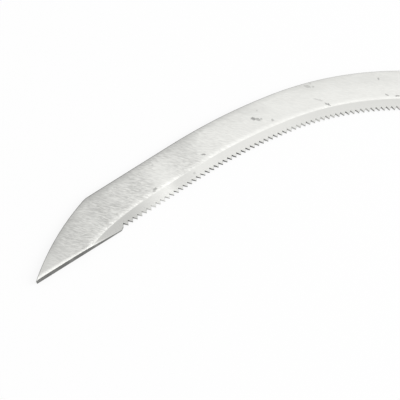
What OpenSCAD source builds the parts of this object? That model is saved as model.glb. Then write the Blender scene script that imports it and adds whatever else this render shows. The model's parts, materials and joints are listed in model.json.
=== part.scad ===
// Sickle with a toothed crescent blade, a riveted flat-bar shank and a turned wooden handle.
// The blade lies flat on the ground at z = 0 with its ground face up.
// The handle lies along X with its butt toward +X, and its fullest part also rests at z = 0.
// The origin is the middle of the footprint, on the ground.

/* [Blade] */
// Distance from the spine to the middle of the teeth
blade_w = 16.6; // [14:0.2:20]
// Thickness of the blade at the spine
blade_t = 2.2; // [1.8:0.1:3]
// Straight length at the heel, under the shank
heel_run = 38; // [34:1:60]
// Spine length of the bend next to the heel
heel_arc = 58; // [30:1:80]
// Spine radius of the bend next to the heel
heel_r = 92; // [60:1:140]
// Spine length of the main bend
main_arc = 170; // [100:1:200]
// Spine radius of the main bend
main_r = 122; // [90:1:160]
// Spine length of the slow bend toward the tip
slow_arc = 45; // [20:1:70]
// Spine radius of the slow bend toward the tip
slow_r = 218; // [150:1:400]
// Straight spine length at the tip, up to the clipped corner
tip_run = 38; // [26:1:60]

/* [Tip] */
// How far the point reaches beyond the clipped corner
tip_reach = 30.6; // [20:0.2:40]
// Depth of the point below the line of the spine
tip_drop = 17.1; // [14:0.1:20]
// Bow of the clipped edge at its middle
clip_bow = 1.8; // [0:0.1:3]
// How far the lower tip edge drops below the middle of the teeth
tip_step = 1.1; // [0.6:0.1:2]
// Distance from the clipped corner to the end of the lower tip edge
tip_edge_end = 4; // [0:0.5:8]

/* [Ground bevel] */
// Width of the bevel, from its ridge to the middle of the teeth
bevel_w = 3.25; // [2:0.05:4.5]
// Thickness left at the middle of the teeth
edge_t = 0.8; // [0.6:0.1:1.2]
// Spine length near the tip over which the ridge drifts to the edge
drift_len = 16.5; // [8:0.5:24]
// Radius of the drifting ridge
drift_r = 133; // [80:1:300]
// Radius of the curve by which the ridge leaves the edge
runout_r = 33; // [24:1:50]

/* [Teeth] */
// Length of one tooth along the edge
tooth_pitch = 2; // [1.5:0.1:4]
// Depth of a tooth from its point to its root
tooth_depth = 1.4; // [0.6:0.1:1.6]
// Share of the tooth taken by its long flank
tooth_share = 0.6; // [0.5:0.05:0.85]
// Length of plain edge at the heel
plain_edge = 56; // [46:1:90]

/* [Shank] */
// Width of the flat bar
bar_w = 14; // [12:0.5:15.5]
// Thickness of the flat bar
bar_t = 4; // [3:0.1:5]
// Angle between the blade's heel and the handle
heel_angle = 25; // [5:1:40]
// Radius of the edgewise bend
bend_r = 40; // [25:1:60]
// Length of the crank that lifts the bar to the handle's axis
crank_len = 30; // [26:1:50]
// Straight bar between the crank and the shoulder
shoulder_run = 5; // [2:0.5:15]
// Length of the tang in the handle
tang_len = 72; // [60:1:90]
// Width of the tang
tang_w = 8; // [6.5:0.1:10]

/* [Handle] */
// Length of the handle
handle_len = 124; // [110:1:150]
// Diameter at the fullest part, which rests on the ground
handle_d = 31; // [30:0.5:36]
// Diameter at the waist
waist_d = 26; // [24:0.5:29]
// Diameter of the swell at the butt
butt_d = 29.5; // [26:0.5:30]
// Diameter of the hanging hole
hang_d = 6; // [4:0.5:8]
// Distance from the butt to the hanging hole
hang_in = 17; // [13:0.5:24]

/* [Ferrule] */
// Length of the ferrule
ferrule_len = 18; // [14:0.5:26]
// Outer diameter of the ferrule
ferrule_d = 25; // [23:0.5:27]
// Wall of the ferrule
ferrule_t = 1.2; // [0.8:0.1:2]
// Thickness of the washer under the shoulders
shoulder_t = 2; // [1.5:0.1:3]
// Diameter of the nails in the ferrule
nail_d = 1.8; // [1.2:0.1:2.4]
// Length of the nails under their heads
nail_len = 7; // [5:0.5:7.5]

/* [Rivets] */
// Diameter of the blade rivets
rivet_d = 5; // [4:0.1:6]
// Distance between the blade rivets
rivet_gap = 11; // [10:0.5:12]
// Diameter of the pin through the tang
pin_d = 4.5; // [3:0.1:5]
// Diameter of the washers on the pin
burr_d = 11; // [10:0.5:12]
// Thickness of the washers on the pin
burr_t = 1.2; // [0.8:0.1:1.6]

/* [Hidden] */
cut_step = 2.5;
// How far a drill or a slot runs past the face that it opens.
past = 1;
axis_z = handle_d / 2;
bar_mid_z = blade_t + bar_t / 2;
bevel_slope = (blade_t - edge_t) / bevel_w;
ridge_off = blade_w - bevel_w;
deg = 180 / PI;

// Each stretch of the spine is its length and its radius, with 0 for a straight one.
spine = [[heel_run, 0], [heel_arc, heel_r], [main_arc, main_r], [slow_arc, slow_r], [tip_run, 0]];

// Where the shank's centre line leaves the edgewise bend.
bend_x = -shoulder_run - crank_len - bend_r * sin(heel_angle);
bend_y = bend_r * (1 - cos(heel_angle));

// The blade's heel starts a little beyond the bend, with the shank along its middle.
heel_gap = 3;
heel_dir = 180 - heel_angle;
heel_x = bend_x + heel_gap * cos(heel_dir) + blade_w / 2 * sin(heel_dir);
heel_y = bend_y + heel_gap * sin(heel_dir) - blade_w / 2 * cos(heel_dir);

// Turn of one stretch, in degrees.
function turn(seg) = seg[1] == 0 ? 0 : seg[0] / seg[1] * deg;
// Point reached after a distance along a left-hand bend, from point p with heading h.
function step(p, h, len, r) = r == 0
    ? p + len * [cos(h), sin(h)]
    : p + r * [sin(h + len / r * deg) - sin(h), cos(h) - cos(h + len / r * deg)];
// State [x, y, heading] at the start of each stretch of a chain.
function chain_start(chain, i, x0, y0, h0) = i == 0
    ? [x0, y0, h0]
    : next_state(chain_start(chain, i - 1, x0, y0, h0), chain[i - 1]);
function next_state(st, seg) = concat(step([st[0], st[1]], st[2], seg[0], seg[1]), [st[2] + turn(seg)]);
// Sum of the lengths of the first n stretches.
function run_to(chain, n) = n == 0 ? 0 : chain[n - 1][0] + run_to(chain, n - 1);
// Stretch that holds a station.
function stretch(chain, s, i = 0) = i == len(chain) - 1 || s < chain[i][0]
    ? [i, s]
    : stretch(chain, s - chain[i][0], i + 1);
// Point at a station of a chain, moved to the left of the way toward the tip.
function at(chain, starts, s, off) = let(
        k = stretch(chain, s),
        st = starts[k[0]],
        r = chain[k[0]][1],
        h = st[2] + (r == 0 ? 0 : k[1] / r * deg)
    ) step([st[0], st[1]], st[2], k[1], r) + off * [-sin(h), cos(h)];

spine_starts = [for (i = [0:4]) chain_start(spine, i, heel_x, heel_y, heel_dir)];
spine_len = run_to(spine, 5);
tip_dir = spine_starts[4][2];

// The same chain along the middle of the teeth.
edge = [for (seg = spine) seg[1] == 0 ? seg : [seg[0] * (seg[1] - blade_w) / seg[1], seg[1] - blade_w]];
edge_starts = [for (i = [0:4]) [
    spine_starts[i][0] - blade_w * sin(spine_starts[i][2]),
    spine_starts[i][1] + blade_w * cos(spine_starts[i][2]),
    spine_starts[i][2]
]];
edge_len = run_to(edge, 5);

// Point near the tip: back is measured from the clipped corner toward the heel, down from the spine.
function tip_at(back, down) = at(spine, spine_starts, spine_len, down) - back * [cos(tip_dir), sin(tip_dir)];

// Teeth run from the lower tip edge back to the plain edge.
tooth_first = tip_edge_end + tip_step + tooth_depth / 2;
tooth_count = floor((edge_len - tooth_first - plain_edge) / tooth_pitch);

function spine_points() = [for (i = [0:ceil(spine_len / cut_step)])
    at(spine, spine_starts, min(spine_len, i * cut_step), 0)];
clip_steps = 10;
function clip_points() = [for (i = [1:clip_steps])
    let(f = i / clip_steps, chord = norm([tip_reach, tip_drop])) tip_at(
        -tip_reach * f - tip_drop / chord * 4 * clip_bow * f * (1 - f),
        tip_drop * f - tip_reach / chord * 4 * clip_bow * f * (1 - f)
    )];
function tip_edge_points() = [
    tip_at(tip_edge_end, blade_w + tip_step),
    tip_at(tip_edge_end + tip_step, blade_w + tip_step / 3)
];
function tooth_points() = [for (i = [0:tooth_count - 1])
    let(e = edge_len - tooth_first - i * tooth_pitch) each [
    at(edge, edge_starts, e, -tooth_depth / 2),
    at(edge, edge_starts, e - tooth_pitch * tooth_share, tooth_depth / 2)
]];
function plain_points() = let(
        last = edge_len - tooth_first - tooth_count * tooth_pitch,
        n = ceil(last / cut_step)
    )
    [for (i = [0:n]) at(edge, edge_starts, last * (1 - i / n), 0)];

blade_outline = concat(spine_points(), clip_points(), tip_edge_points(), tooth_points(), plain_points());

// The ridge of the bevel is a chain of its own, which starts and ends in a curve that leaves the edge.
// The bevel begins a little beyond the straight heel.
bevel_late = 14;
bevel_start = heel_run + bevel_late;
// Straight rest of the spine between the ridge's last curve and the clipped corner.
drift_end = 4.3;
// Angle through which the ridge turns on its way off the edge.
runout_turn = 40;
runout_len = runout_r * runout_turn / deg;
ridge = [
    [runout_len, runout_r],
    [(heel_run + heel_arc - bevel_start) * (heel_r - ridge_off) / heel_r, heel_r - ridge_off],
    [main_arc * (main_r - ridge_off) / main_r, main_r - ridge_off],
    [slow_arc * (slow_r - ridge_off) / slow_r, slow_r - ridge_off],
    [tip_run - drift_len - drift_end, 0],
    [drift_len, drift_r],
    [runout_len, runout_r]
];
ridge_turn = (bevel_start - heel_run) / heel_r * deg;
ridge_foot = at(spine, spine_starts, bevel_start, ridge_off);
ridge_origin = step(ridge_foot, heel_dir + ridge_turn, -runout_len, runout_r);
ridge_heading = heel_dir + ridge_turn - runout_turn;
ridge_starts = [for (i = [0:6]) chain_start(ridge, i, ridge_origin[0], ridge_origin[1], ridge_heading)];

// Frame: the middle of the footprint.
handle_end = shoulder_t + handle_len;
x_low = min([for (p = blade_outline) p[0]]);
y_low = min(min([for (p = blade_outline) p[1]]), -axis_z);
y_high = max([for (p = blade_outline) p[1]]);
frame_x = -(x_low + handle_end) / 2;
frame_y = -(y_low + y_high) / 2;

// Low domed head on z = 0.
module dome(r, h) {
    steps = 8;
    ball = (r * r + h * h) / (2 * h);
    reach = asin(r / ball);
    rotate_extrude($fn = 40)
        polygon(concat([[0, 0]], [for (i = [0:steps]) let(a = reach * (1 - i / steps))
            [max(0, ball * sin(a)), h - ball * (1 - cos(a))]]));
}

// Moves a piece from the shoulder of the shank to the frame of the part.
module placed() {
    translate([frame_x, frame_y, 0])
        children();
}

// Turns an upright piece so that its axis is the handle's axis.
module along_handle() {
    translate([0, 0, axis_z])
        rotate([0, 90, 0])
            children();
}

// Middle of a blade rivet.
rivet_in = 7;
function rivet_at(i) = let(d = heel_gap + rivet_in + i * rivet_gap)
    [bend_x + d * cos(heel_dir), bend_y + d * sin(heel_dir)];

// Material ground away beside one stretch of the ridge.
// Every second stretch is ground a hair wider and laps over its neighbours,
// so that no fin is left between two.
grind_reach = 8;
grind_over = 1.5;
lap_len = 0.5;
lap_w = 0.04;
module grind(i) {
    st = ridge_starts[i];
    lap = i % 2;
    if (ridge[i][1] == 0)
        translate([st[0], st[1], blade_t])
            rotate([90, 0, st[2] + 90])
                linear_extrude(ridge[i][0])
                    polygon([
                        [grind_reach, -grind_reach * bevel_slope],
                        [grind_reach, grind_over * bevel_slope],
                        [-grind_over, grind_over * bevel_slope]
                    ]);
    else
        ground_bend(st, ridge[i][1], ridge[i][0], lap * lap_len, lap * lap_w);
}

// The same beside a bend with its start state, radius and length, lapped at both ends and widened.
module ground_bend(st, r, len, ends, wider) {
    translate([st[0] - r * sin(st[2]), st[1] + r * cos(st[2]), blade_t])
        rotate([0, 0, st[2] - 90 - ends / r * deg])
            rotate_extrude(angle = (len + 2 * ends) / r * deg, $fn = 180)
                polygon([
                    [r + wider - grind_reach, -grind_reach * bevel_slope],
                    [r + wider + grind_over, grind_over * bevel_slope],
                    [r + wider - grind_reach, grind_over * bevel_slope]
                ]);
}

// The blank with the first stretches of its bevel ground, one after the other.
module ground(last) {
    difference() {
        if (last > 0)
            ground(last - 1);
        else
            linear_extrude(blade_t)
                polygon(blade_outline);
        grind(last);
    }
}

rivet_sink = 1.2;
module blade() {
    color([0.78, 0.79, 0.77])
        placed()
            difference() {
                ground(len(ridge) - 1);
                for (i = [0:2])
                    translate(rivet_at(i)) {
                        translate([0, 0, -past])
                            cylinder(d = rivet_d, h = blade_t + 2 * past, $fn = 32);
                        rivet_cone();
                    }
            }
}

// Countersink in the back of the blade, which the rivet's flush head fills.
module rivet_cone() {
    cylinder(d1 = rivet_d + 2 * rivet_sink, d2 = rivet_d, h = rivet_sink, $fn = 32);
}

// The round end of the bar stops this far before the blade begins to bend.
palm_stop = 5;
palm_reach = heel_gap + heel_run - palm_stop - bar_w / 2;

// Plan of the flat bar, from the shoulder round the edgewise bend to the round end on the blade.
function bar_plan() = let(
        n = 8,
        bx = -shoulder_run - crank_len,
        ro = bend_r + bar_w / 2,
        ri = bend_r - bar_w / 2
    )
    concat(
        [[0, -bar_w / 2]],
        [for (i = [0:n]) let(a = 270 - heel_angle * i / n) [bx + ro * cos(a), bend_r + ro * sin(a)]],
        [for (i = [0:16]) let(a = heel_dir + 90 - 180 * i / 16) [
            bend_x + palm_reach * cos(heel_dir) + bar_w / 2 * cos(a),
            bend_y + palm_reach * sin(heel_dir) + bar_w / 2 * sin(a)
        ]],
        [for (i = [n:-1:0]) let(a = 270 - heel_angle * i / n) [bx + ri * cos(a), bend_r + ri * sin(a)]],
        [[0, bar_w / 2]]
    );

// Side view of the flat bar, with the crank made of two equal arcs.
crank_rise = axis_z - bar_mid_z;
crank_turn = 2 * atan(crank_rise / crank_len);
crank_r = crank_len / (2 * sin(crank_turn));
bar_far = 400;
function bar_line(side) = concat(
        [[0, axis_z + side]],
        [for (i = [0:8]) let(a = crank_turn * i / 8)
            [-shoulder_run - (crank_r + side) * sin(a), axis_z - crank_r + (crank_r + side) * cos(a)]],
        [for (i = [7:-1:0]) let(a = crank_turn * i / 8)
            [
                -shoulder_run - crank_len + (crank_r - side) * sin(a),
                bar_mid_z + crank_r - (crank_r - side) * cos(a)
            ]],
        [[-bar_far, bar_mid_z + side]]
    );
function turned(list) = [for (i = [len(list) - 1:-1:0]) list[i]];

tang_point = 5;
// The slot in the handle is this much longer than the tang.
tang_room = 2;
pin_in = 16;
pin_x = tang_len - pin_in;
module shank() {
    color([0.42, 0.42, 0.42])
        placed()
            difference() {
                union() {
                    intersection() {
                        linear_extrude(axis_z + bar_t)
                            polygon(bar_plan());
                        rotate([90, 0, 0])
                            linear_extrude(bar_far, center = true)
                                polygon(concat(bar_line(bar_t / 2), turned(bar_line(-bar_t / 2))));
                    }
                    translate([0, 0, axis_z - bar_t / 2])
                        linear_extrude(bar_t)
                            polygon([
                                [-past, -tang_w / 2],
                                [tang_len - tang_point, -tang_w / 2],
                                [tang_len, -tang_w / 4],
                                [tang_len, tang_w / 4],
                                [tang_len - tang_point, tang_w / 2],
                                [-past, tang_w / 2]
                            ]);
                }
                for (i = [0:2])
                    translate(concat(rivet_at(i), [blade_t - past]))
                        cylinder(d = rivet_d, h = bar_t + 2 * past, $fn = 32);
                translate([pin_x, 0, axis_z - bar_t])
                    cylinder(d = pin_d, h = 2 * bar_t, $fn = 32);
            }
}

rivet_head_r = rivet_d * 0.9;
rivet_head_h = rivet_d * 0.5;
module blade_rivets() {
    color([0.38, 0.38, 0.39])
        placed()
            for (i = [0:2])
                translate(rivet_at(i)) {
                    rivet_cone();
                    cylinder(d = rivet_d, h = blade_t + bar_t, $fn = 32);
                    translate([0, 0, blade_t + bar_t])
                        dome(rivet_head_r, rivet_head_h);
                }
}

module shoulder_washer() {
    color([0.5, 0.5, 0.5])
        placed()
            difference() {
                along_handle()
                    cylinder(d = ferrule_d - 2, h = shoulder_t, $fn = 64);
                translate([-past, -tang_w / 2, axis_z - bar_t / 2])
                    cube([shoulder_t + 2 * past, tang_w, bar_t]);
            }
}

nail_x = shoulder_t + ferrule_len / 2;
nail_seat = 0.5;
nail_head_r = nail_d;
// Places a nail on each side of the ferrule, pointing inward from the seat of its head.
module at_nails() {
    for (side = [-90, 90])
        translate([nail_x, 0, axis_z])
            rotate([side, 0, 0])
                translate([0, 0, ferrule_d / 2 - nail_seat])
                    children();
}

module nail_shape() {
    translate([0, 0, nail_seat - nail_len])
        cylinder(d = nail_d, h = nail_len - nail_seat, $fn = 24);
    dome(nail_head_r, nail_seat + 0.5);
}

module ferrule_nails() {
    color([0.45, 0.44, 0.43])
        placed()
            at_nails()
                nail_shape();
}

ferrule_edge = 0.3;
module ferrule() {
    color([0.62, 0.63, 0.63])
        placed()
            difference() {
                translate([shoulder_t, 0, 0])
                    along_handle()
                        rotate_extrude($fn = 64)
                            polygon([
                                [ferrule_d / 2 - ferrule_t, 0],
                                [ferrule_d / 2 - ferrule_edge, 0],
                                [ferrule_d / 2, ferrule_edge],
                                [ferrule_d / 2, ferrule_len - ferrule_edge],
                                [ferrule_d / 2 - ferrule_edge, ferrule_len],
                                [ferrule_d / 2 - ferrule_t, ferrule_len]
                            ]);
                at_nails() {
                    translate([0, 0, -ferrule_t - past])
                        cylinder(d = nail_d, h = ferrule_t + 2 * past, $fn = 24);
                    cylinder(r = nail_head_r, h = 2, $fn = 24);
                }
            }
}

// Value between a and b that leaves and reaches them without a kink, for f from 0 to 1.
function ease(a, b, f) = a + (b - a) * (1 - cos(180 * f)) / 2;
// The wood stands a little proud of the ferrule, swells to the belly and narrows to the waist.
neck_lip = 0.5;
neck_r = ferrule_d / 2 + neck_lip;
belly_share = 0.36;
waist_share = 0.74;
grip_len = handle_len - ferrule_len;
belly_at = ferrule_len + belly_share * grip_len;
waist_at = ferrule_len + waist_share * grip_len;
// Length of the rounded butt, and radius of its flat end.
butt_round = 10;
butt_at = handle_len - butt_round;
butt_flat = 8;
// Radius of the handle at a distance from its front end.
function grip_r(x) =
    x < belly_at ? ease(neck_r, handle_d / 2, (x - ferrule_len) / (belly_at - ferrule_len)) :
    x < waist_at ? ease(handle_d / 2, waist_d / 2, (x - belly_at) / (waist_at - belly_at)) :
    x < butt_at ? ease(waist_d / 2, butt_d / 2, (x - waist_at) / (butt_at - waist_at)) :
    butt_flat + (butt_d / 2 - butt_flat) * sqrt(max(0, 1 - pow((x - butt_at) / (handle_len - butt_at), 2)));

function even_steps(a, b, n) = [for (i = [1:n]) a + (b - a) * i / n];
function butt_steps(n) = [for (i = [1:n]) butt_at + (handle_len - butt_at) * sin(90 * i / n)];
grip_stations = concat(
    [ferrule_len],
    even_steps(ferrule_len, belly_at, 10),
    even_steps(belly_at, waist_at, 12),
    even_steps(waist_at, butt_at, 8),
    butt_steps(8)
);

burr_seat = grip_r(pin_x - shoulder_t) - burr_t - pin_d * 0.35 - 0.5;
burr_room = 0.2;
module handle() {
    color([0.63, 0.45, 0.28])
        placed()
            difference() {
                translate([shoulder_t, 0, 0])
                    along_handle()
                        rotate_extrude($fn = 64)
                            polygon(concat(
                                [
                                    [0, 0],
                                    [ferrule_d / 2 - ferrule_t, 0],
                                    [ferrule_d / 2 - ferrule_t, ferrule_len]
                                ],
                                [for (x = grip_stations) [grip_r(x), x]],
                                [[0, handle_len]]
                            ));
                translate([0, -tang_w / 2, axis_z - bar_t / 2])
                    cube([tang_len + tang_room, tang_w, bar_t]);
                at_nails()
                    translate([0, 0, nail_seat - nail_len])
                        cylinder(d = nail_d, h = nail_len, $fn = 24);
                translate([pin_x, 0, axis_z]) {
                    cylinder(d = pin_d, h = handle_d, center = true, $fn = 32);
                    for (side = [0, 180])
                        rotate([side, 0, 0])
                            translate([0, 0, burr_seat])
                                cylinder(d = burr_d + 2 * burr_room, h = handle_d / 2, $fn = 40);
                }
                translate([shoulder_t + handle_len - hang_in, 0, -past])
                    cylinder(d = hang_d, h = handle_d + 2 * past, $fn = 48);
            }
}

module tang_pin() {
    color([0.4, 0.4, 0.41])
        placed()
            translate([pin_x, 0, axis_z]) {
                cylinder(d = pin_d, h = 2 * (burr_seat + burr_t), center = true, $fn = 32);
                for (side = [0, 180])
                    rotate([side, 0, 0])
                        translate([0, 0, burr_seat + burr_t])
                            dome(pin_d * 0.85, pin_d * 0.35);
            }
}

module pin_washers() {
    color([0.55, 0.55, 0.54])
        placed()
            translate([pin_x, 0, axis_z])
                for (side = [0, 180])
                    rotate([side, 0, 0])
                        translate([0, 0, burr_seat])
                            difference() {
                                cylinder(d = burr_d, h = burr_t, $fn = 40);
                                translate([0, 0, -past])
                                    cylinder(d = pin_d, h = burr_t + 2 * past, $fn = 32);
                            }
}

blade();
shank();
blade_rivets();
shoulder_washer();
ferrule();
ferrule_nails();
handle();
tang_pin();
pin_washers();
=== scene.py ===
"""Looks of a hand sickle: toothed crescent blade, riveted flat-bar shank, ferrule and turned handle.

Lengths are in millimetres, in the frame of the CAD model. Those in the finishes, and where a docstring
says so, are in metres.
"""

import logging
import math
from bisect import bisect_right
from dataclasses import dataclass, field
from enum import Enum
from functools import reduce

import bmesh
import bpy
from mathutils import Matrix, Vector, noise
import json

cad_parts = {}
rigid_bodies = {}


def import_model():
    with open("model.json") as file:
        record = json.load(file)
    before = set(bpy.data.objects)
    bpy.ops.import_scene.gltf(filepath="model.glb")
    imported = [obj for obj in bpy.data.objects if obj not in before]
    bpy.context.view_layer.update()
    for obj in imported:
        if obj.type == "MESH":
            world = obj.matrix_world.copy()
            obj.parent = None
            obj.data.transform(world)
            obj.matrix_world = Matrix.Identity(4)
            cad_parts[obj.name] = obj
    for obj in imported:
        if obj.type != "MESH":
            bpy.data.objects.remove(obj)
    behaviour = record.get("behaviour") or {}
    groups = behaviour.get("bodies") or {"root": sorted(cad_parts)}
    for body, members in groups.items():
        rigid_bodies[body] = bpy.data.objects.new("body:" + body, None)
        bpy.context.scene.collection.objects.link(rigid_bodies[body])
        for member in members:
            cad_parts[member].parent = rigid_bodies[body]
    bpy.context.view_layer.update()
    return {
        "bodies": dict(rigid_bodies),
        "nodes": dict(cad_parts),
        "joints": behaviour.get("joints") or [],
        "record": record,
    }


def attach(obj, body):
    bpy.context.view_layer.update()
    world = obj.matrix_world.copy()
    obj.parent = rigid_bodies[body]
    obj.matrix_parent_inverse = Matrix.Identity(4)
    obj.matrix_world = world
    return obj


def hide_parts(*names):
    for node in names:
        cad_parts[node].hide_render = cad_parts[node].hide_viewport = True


LOG = logging.getLogger("sickle")
MM = 0.001
NODE_STEP = (190, 170)
NODE_ROWS = 5
STEEL_BLUE = 0.965
Point2 = tuple[float, float]
Point3 = tuple[float, float, float]
Ring = list[Point3]
Colour = tuple[float, float, float]
Fade = tuple[float, ...]
Thing = bpy.types.Object
Material = bpy.types.Material
Tree = bpy.types.NodeTree
Socket = bpy.types.NodeSocket
Input = Socket | float | Colour
Inputs = dict[str | int, Input]


# Mesh helpers


def link(thing: Thing) -> Thing:
    """Add an object to the scene."""
    bpy.context.scene.collection.objects.link(thing)
    return thing


@dataclass
class Shell:
    """Points and faces of a mesh that is being listed."""

    points: Ring = field(default_factory=list)
    faces: list[tuple[int, ...]] = field(default_factory=list)

    def grow(self, rings: list[Ring], hoop: bool = False) -> "Shell":
        """Add a tube through rings of equal length, capped at its ends or bent round to a hoop.

        Args:
            rings: Rings of points, each listed the same way round.
            hoop: Whether the last ring joins the first.

        Returns:
            The shell itself.
        """
        first, count, rows = len(self.points), len(rings[0]), len(rings)
        self.points += [point for ring in rings for point in ring]
        for row in range(rows if hoop else rows - 1):
            a, b = first + row * count, first + (row + 1) % rows * count
            self.faces += [(a + k, a + (k + 1) % count, b + (k + 1) % count, b + k) for k in range(count)]
        if not hoop:
            self.faces.append(tuple(range(first + count - 1, first - 1, -1)))
            self.faces.append(tuple(range(len(self.points) - count, len(self.points))))
        return self

    def make(self, name: str, sharp: float) -> Thing:
        """Make the object in metres, smooth, with its faces turned outward.

        Args:
            name: Name of the object and its mesh.
            sharp: Angle in degrees above which an edge stays sharp.

        Returns:
            The object.
        """
        mesh = bpy.data.meshes.new(name)
        mesh.from_pydata([tuple(c * MM for c in point) for point in self.points], [], self.faces)
        mesh.validate()
        skin = bmesh.new()
        skin.from_mesh(mesh)
        bmesh.ops.recalc_face_normals(skin, faces=skin.faces)
        skin.to_mesh(mesh)
        skin.free()
        mesh.polygons.foreach_set("use_smooth", [True] * len(mesh.polygons))
        mesh.set_sharp_from_angle(angle=math.radians(sharp))
        mesh.update()
        return link(bpy.data.objects.new(name, mesh))


def spaced(first: float, last: float, steps: int) -> list[float]:
    """List even steps from a first value, which is left out, to the last."""
    return [first + (last - first) * k / steps for k in range(1, steps + 1)]


def lathe(profile: list[Point2], turns: int) -> list[Ring]:
    """Turn a profile of radius and height around the Z axis, one ring for each of its points."""
    angles = [2 * math.pi * k / turns for k in range(turns)]
    return [[(r * math.cos(a), r * math.sin(a), h) for a in angles] for r, h in profile]


def arc(centre: Point2, radius: float, first: float, last: float, steps: int) -> list[Point2]:
    """List the points along an arc between two angles in degrees, both ends with them."""
    angles = [math.radians(angle) for angle in (first, *spaced(first, last, steps))]
    return [(centre[0] + radius * math.cos(a), centre[1] + radius * math.sin(a)) for a in angles]


def along(corners: list[Point2], place: float) -> float:
    """Read a line of corners at a place.

    Args:
        corners: Corners in rising order of their first value.
        place: First value to look up, not before the first corner's.

    Returns:
        The second value there.
    """
    after = bisect_right(corners, place, key=lambda corner: corner[0])
    if after == len(corners):
        return corners[-1][1]
    a, b = corners[after - 1], corners[after]
    return a[1] + (b[1] - a[1]) * (place - a[0]) / (b[0] - a[0])


def waver(x: float, y: float, z: float, size: float) -> float:
    """Smooth, repeatable unevenness between about -1 and 1, with swells of a size."""
    return noise.noise(Vector((x / size, y / size, z / size)), noise_basis="PERLIN_ORIGINAL")


def clamped(value: float) -> float:
    """Keep a value between 0 and 1."""
    return min(1.0, max(0.0, value))


def stand_in(piece: Thing, node: str, finish: Material) -> Thing:
    """Let a new piece stand for a CAD node, and give it its finish.

    Args:
        piece: The new piece.
        node: Name of the CAD node.
        finish: Material of the whole piece.

    Returns:
        The piece.
    """
    piece.data.materials.append(finish)
    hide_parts(node)
    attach(piece, "root")
    return piece


def dress_node(frame: dict[str, object], node: str, finish: Material) -> Thing:
    """Give a CAD node its finish.

    Args:
        node: Name of the node.
        finish: Material of the whole node.

    Returns:
        The node's object.
    """
    piece = frame["nodes"][node]
    for slot in piece.material_slots:
        slot.material = finish
    return piece


# Shader helpers


def grey(level: float) -> Colour:
    """Mix the faintly warm grey of steel at a level."""
    return (level, level, STEEL_BLUE * level)


@dataclass
class Graph:
    """Adds and links the nodes of one material, world or node group."""

    tree: Tree
    count: int = 0

    def put(self, socket: Socket, value: Input) -> None:
        """Link or set one input.

        Args:
            socket: The input.
            value: Socket to link, or value to set.
        """
        if isinstance(value, Socket):
            self.tree.links.new(value, socket)
        else:
            socket.default_value = (*value, 1.0) if socket.type == "RGBA" else value

    def add(self, kind: str, inputs: Inputs | None = None, **settings: object) -> bpy.types.Node:
        """Add a shader node.

        Args:
            kind: Blender's name of its type, without the first words.
            inputs: Value or linked socket for each input.
            settings: Properties of the node.

        Returns:
            The node.
        """
        node = self.tree.nodes.new(f"ShaderNode{kind}")
        node.location = (self.count * NODE_STEP[0], -(self.count % NODE_ROWS) * NODE_STEP[1])
        self.count += 1
        for name, value in settings.items():
            setattr(node, name, value)
        for key, value in (inputs or {}).items():
            self.put(node.inputs[key], value)
        return node

    def math(self, operation: str, a: Input, b: Input = 0.0, clamp: bool = False) -> Socket:
        """Calculate with two values, and keep the result between 0 and 1 where it is clamped."""
        return self.add("Math", {0: a, 1: b}, operation=operation, use_clamp=clamp).outputs[0]

    def times(self, *factors: Input) -> Socket:
        """Multiply any number of values."""
        return reduce(lambda a, b: self.math("MULTIPLY", a, b), factors)

    def vector(self, operation: str, a: Input, b: Input = (0.0, 0.0, 0.0)) -> Socket:
        """Calculate with two vectors, to a value for a length or a dot product and else to a vector."""
        node = self.add("VectorMath", {0: a, 1: b}, operation=operation)
        return node.outputs["Value" if operation in ("LENGTH", "DOT_PRODUCT") else "Vector"]

    def noise(self, at: Input, scale: Input, detail: float, rough: float = 0.5, bend: float = 0.0) -> Socket:
        """Sample a noise, about 0.5 on average, with a number of finer layers of some strength."""
        inputs = {"Vector": at, "Scale": scale, "Detail": detail, "Roughness": rough, "Distortion": bend}
        return self.add("TexNoise", inputs).outputs[0]

    def drift(self, at: Socket, scale: float, detail: float) -> Socket:
        """Sample a noise vector around zero, for pushing coordinates about."""
        cloud = self.add("TexNoise", {"Vector": at, "Scale": scale, "Detail": detail})
        return self.vector("SUBTRACT", cloud.outputs["Color"], (0.5, 0.5, 0.5))

    def fade(self, value: Socket, start: float, end: float, first: float = 0.0, last: float = 1.0) -> Socket:
        """Turn a value into a smooth change, from first at start to last at end."""
        inputs = {"Value": value, "From Min": start, "From Max": end, "To Min": first, "To Max": last}
        return self.add("MapRange", inputs, interpolation_type="SMOOTHSTEP").outputs[0]

    def blend(self, factor: Input, a: Input, b: Input) -> Socket:
        """Lay the second colour over the first with a strength."""
        return self.add("Mix", {0: factor, 6: a, 7: b}, data_type="RGBA").outputs[2]

    def bump(self, height: Socket, strength: float, distance: float, **normal: Socket) -> Socket:
        """Turn a height into a normal, with its depth in metres, over another normal where one is given."""
        inputs = {"Height": height, "Strength": strength, "Distance": distance, **normal}
        return self.add("Bump", inputs).outputs[0]

    def attribute(self, name: str) -> Socket:
        """Read a number that the mesh holds at each point."""
        return self.add("Attribute", attribute_name=name).outputs["Fac"]

    def axes(self, vector: Socket) -> list[Socket]:
        """Split a vector into its three axes."""
        return list(self.add("SeparateXYZ", {0: vector}).outputs)

    def join(self, *axes: Input) -> Socket:
        """Join up to three axes into a vector."""
        return self.add("CombineXYZ", dict(enumerate(axes))).outputs[0]

    def turned(self, vector: Socket, angle: Input) -> Socket:
        """Turn a vector about the Z axis."""
        node = self.add("VectorRotate", {"Vector": vector, "Angle": angle}, rotation_type="Z_AXIS")
        return node.outputs[0]

    def group(self, tree: Tree, **inputs: Input) -> dict[str, Socket]:
        """Place a node group, and list its outputs by name."""
        return dict(self.add("Group", inputs, node_tree=tree).outputs.items())


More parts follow.
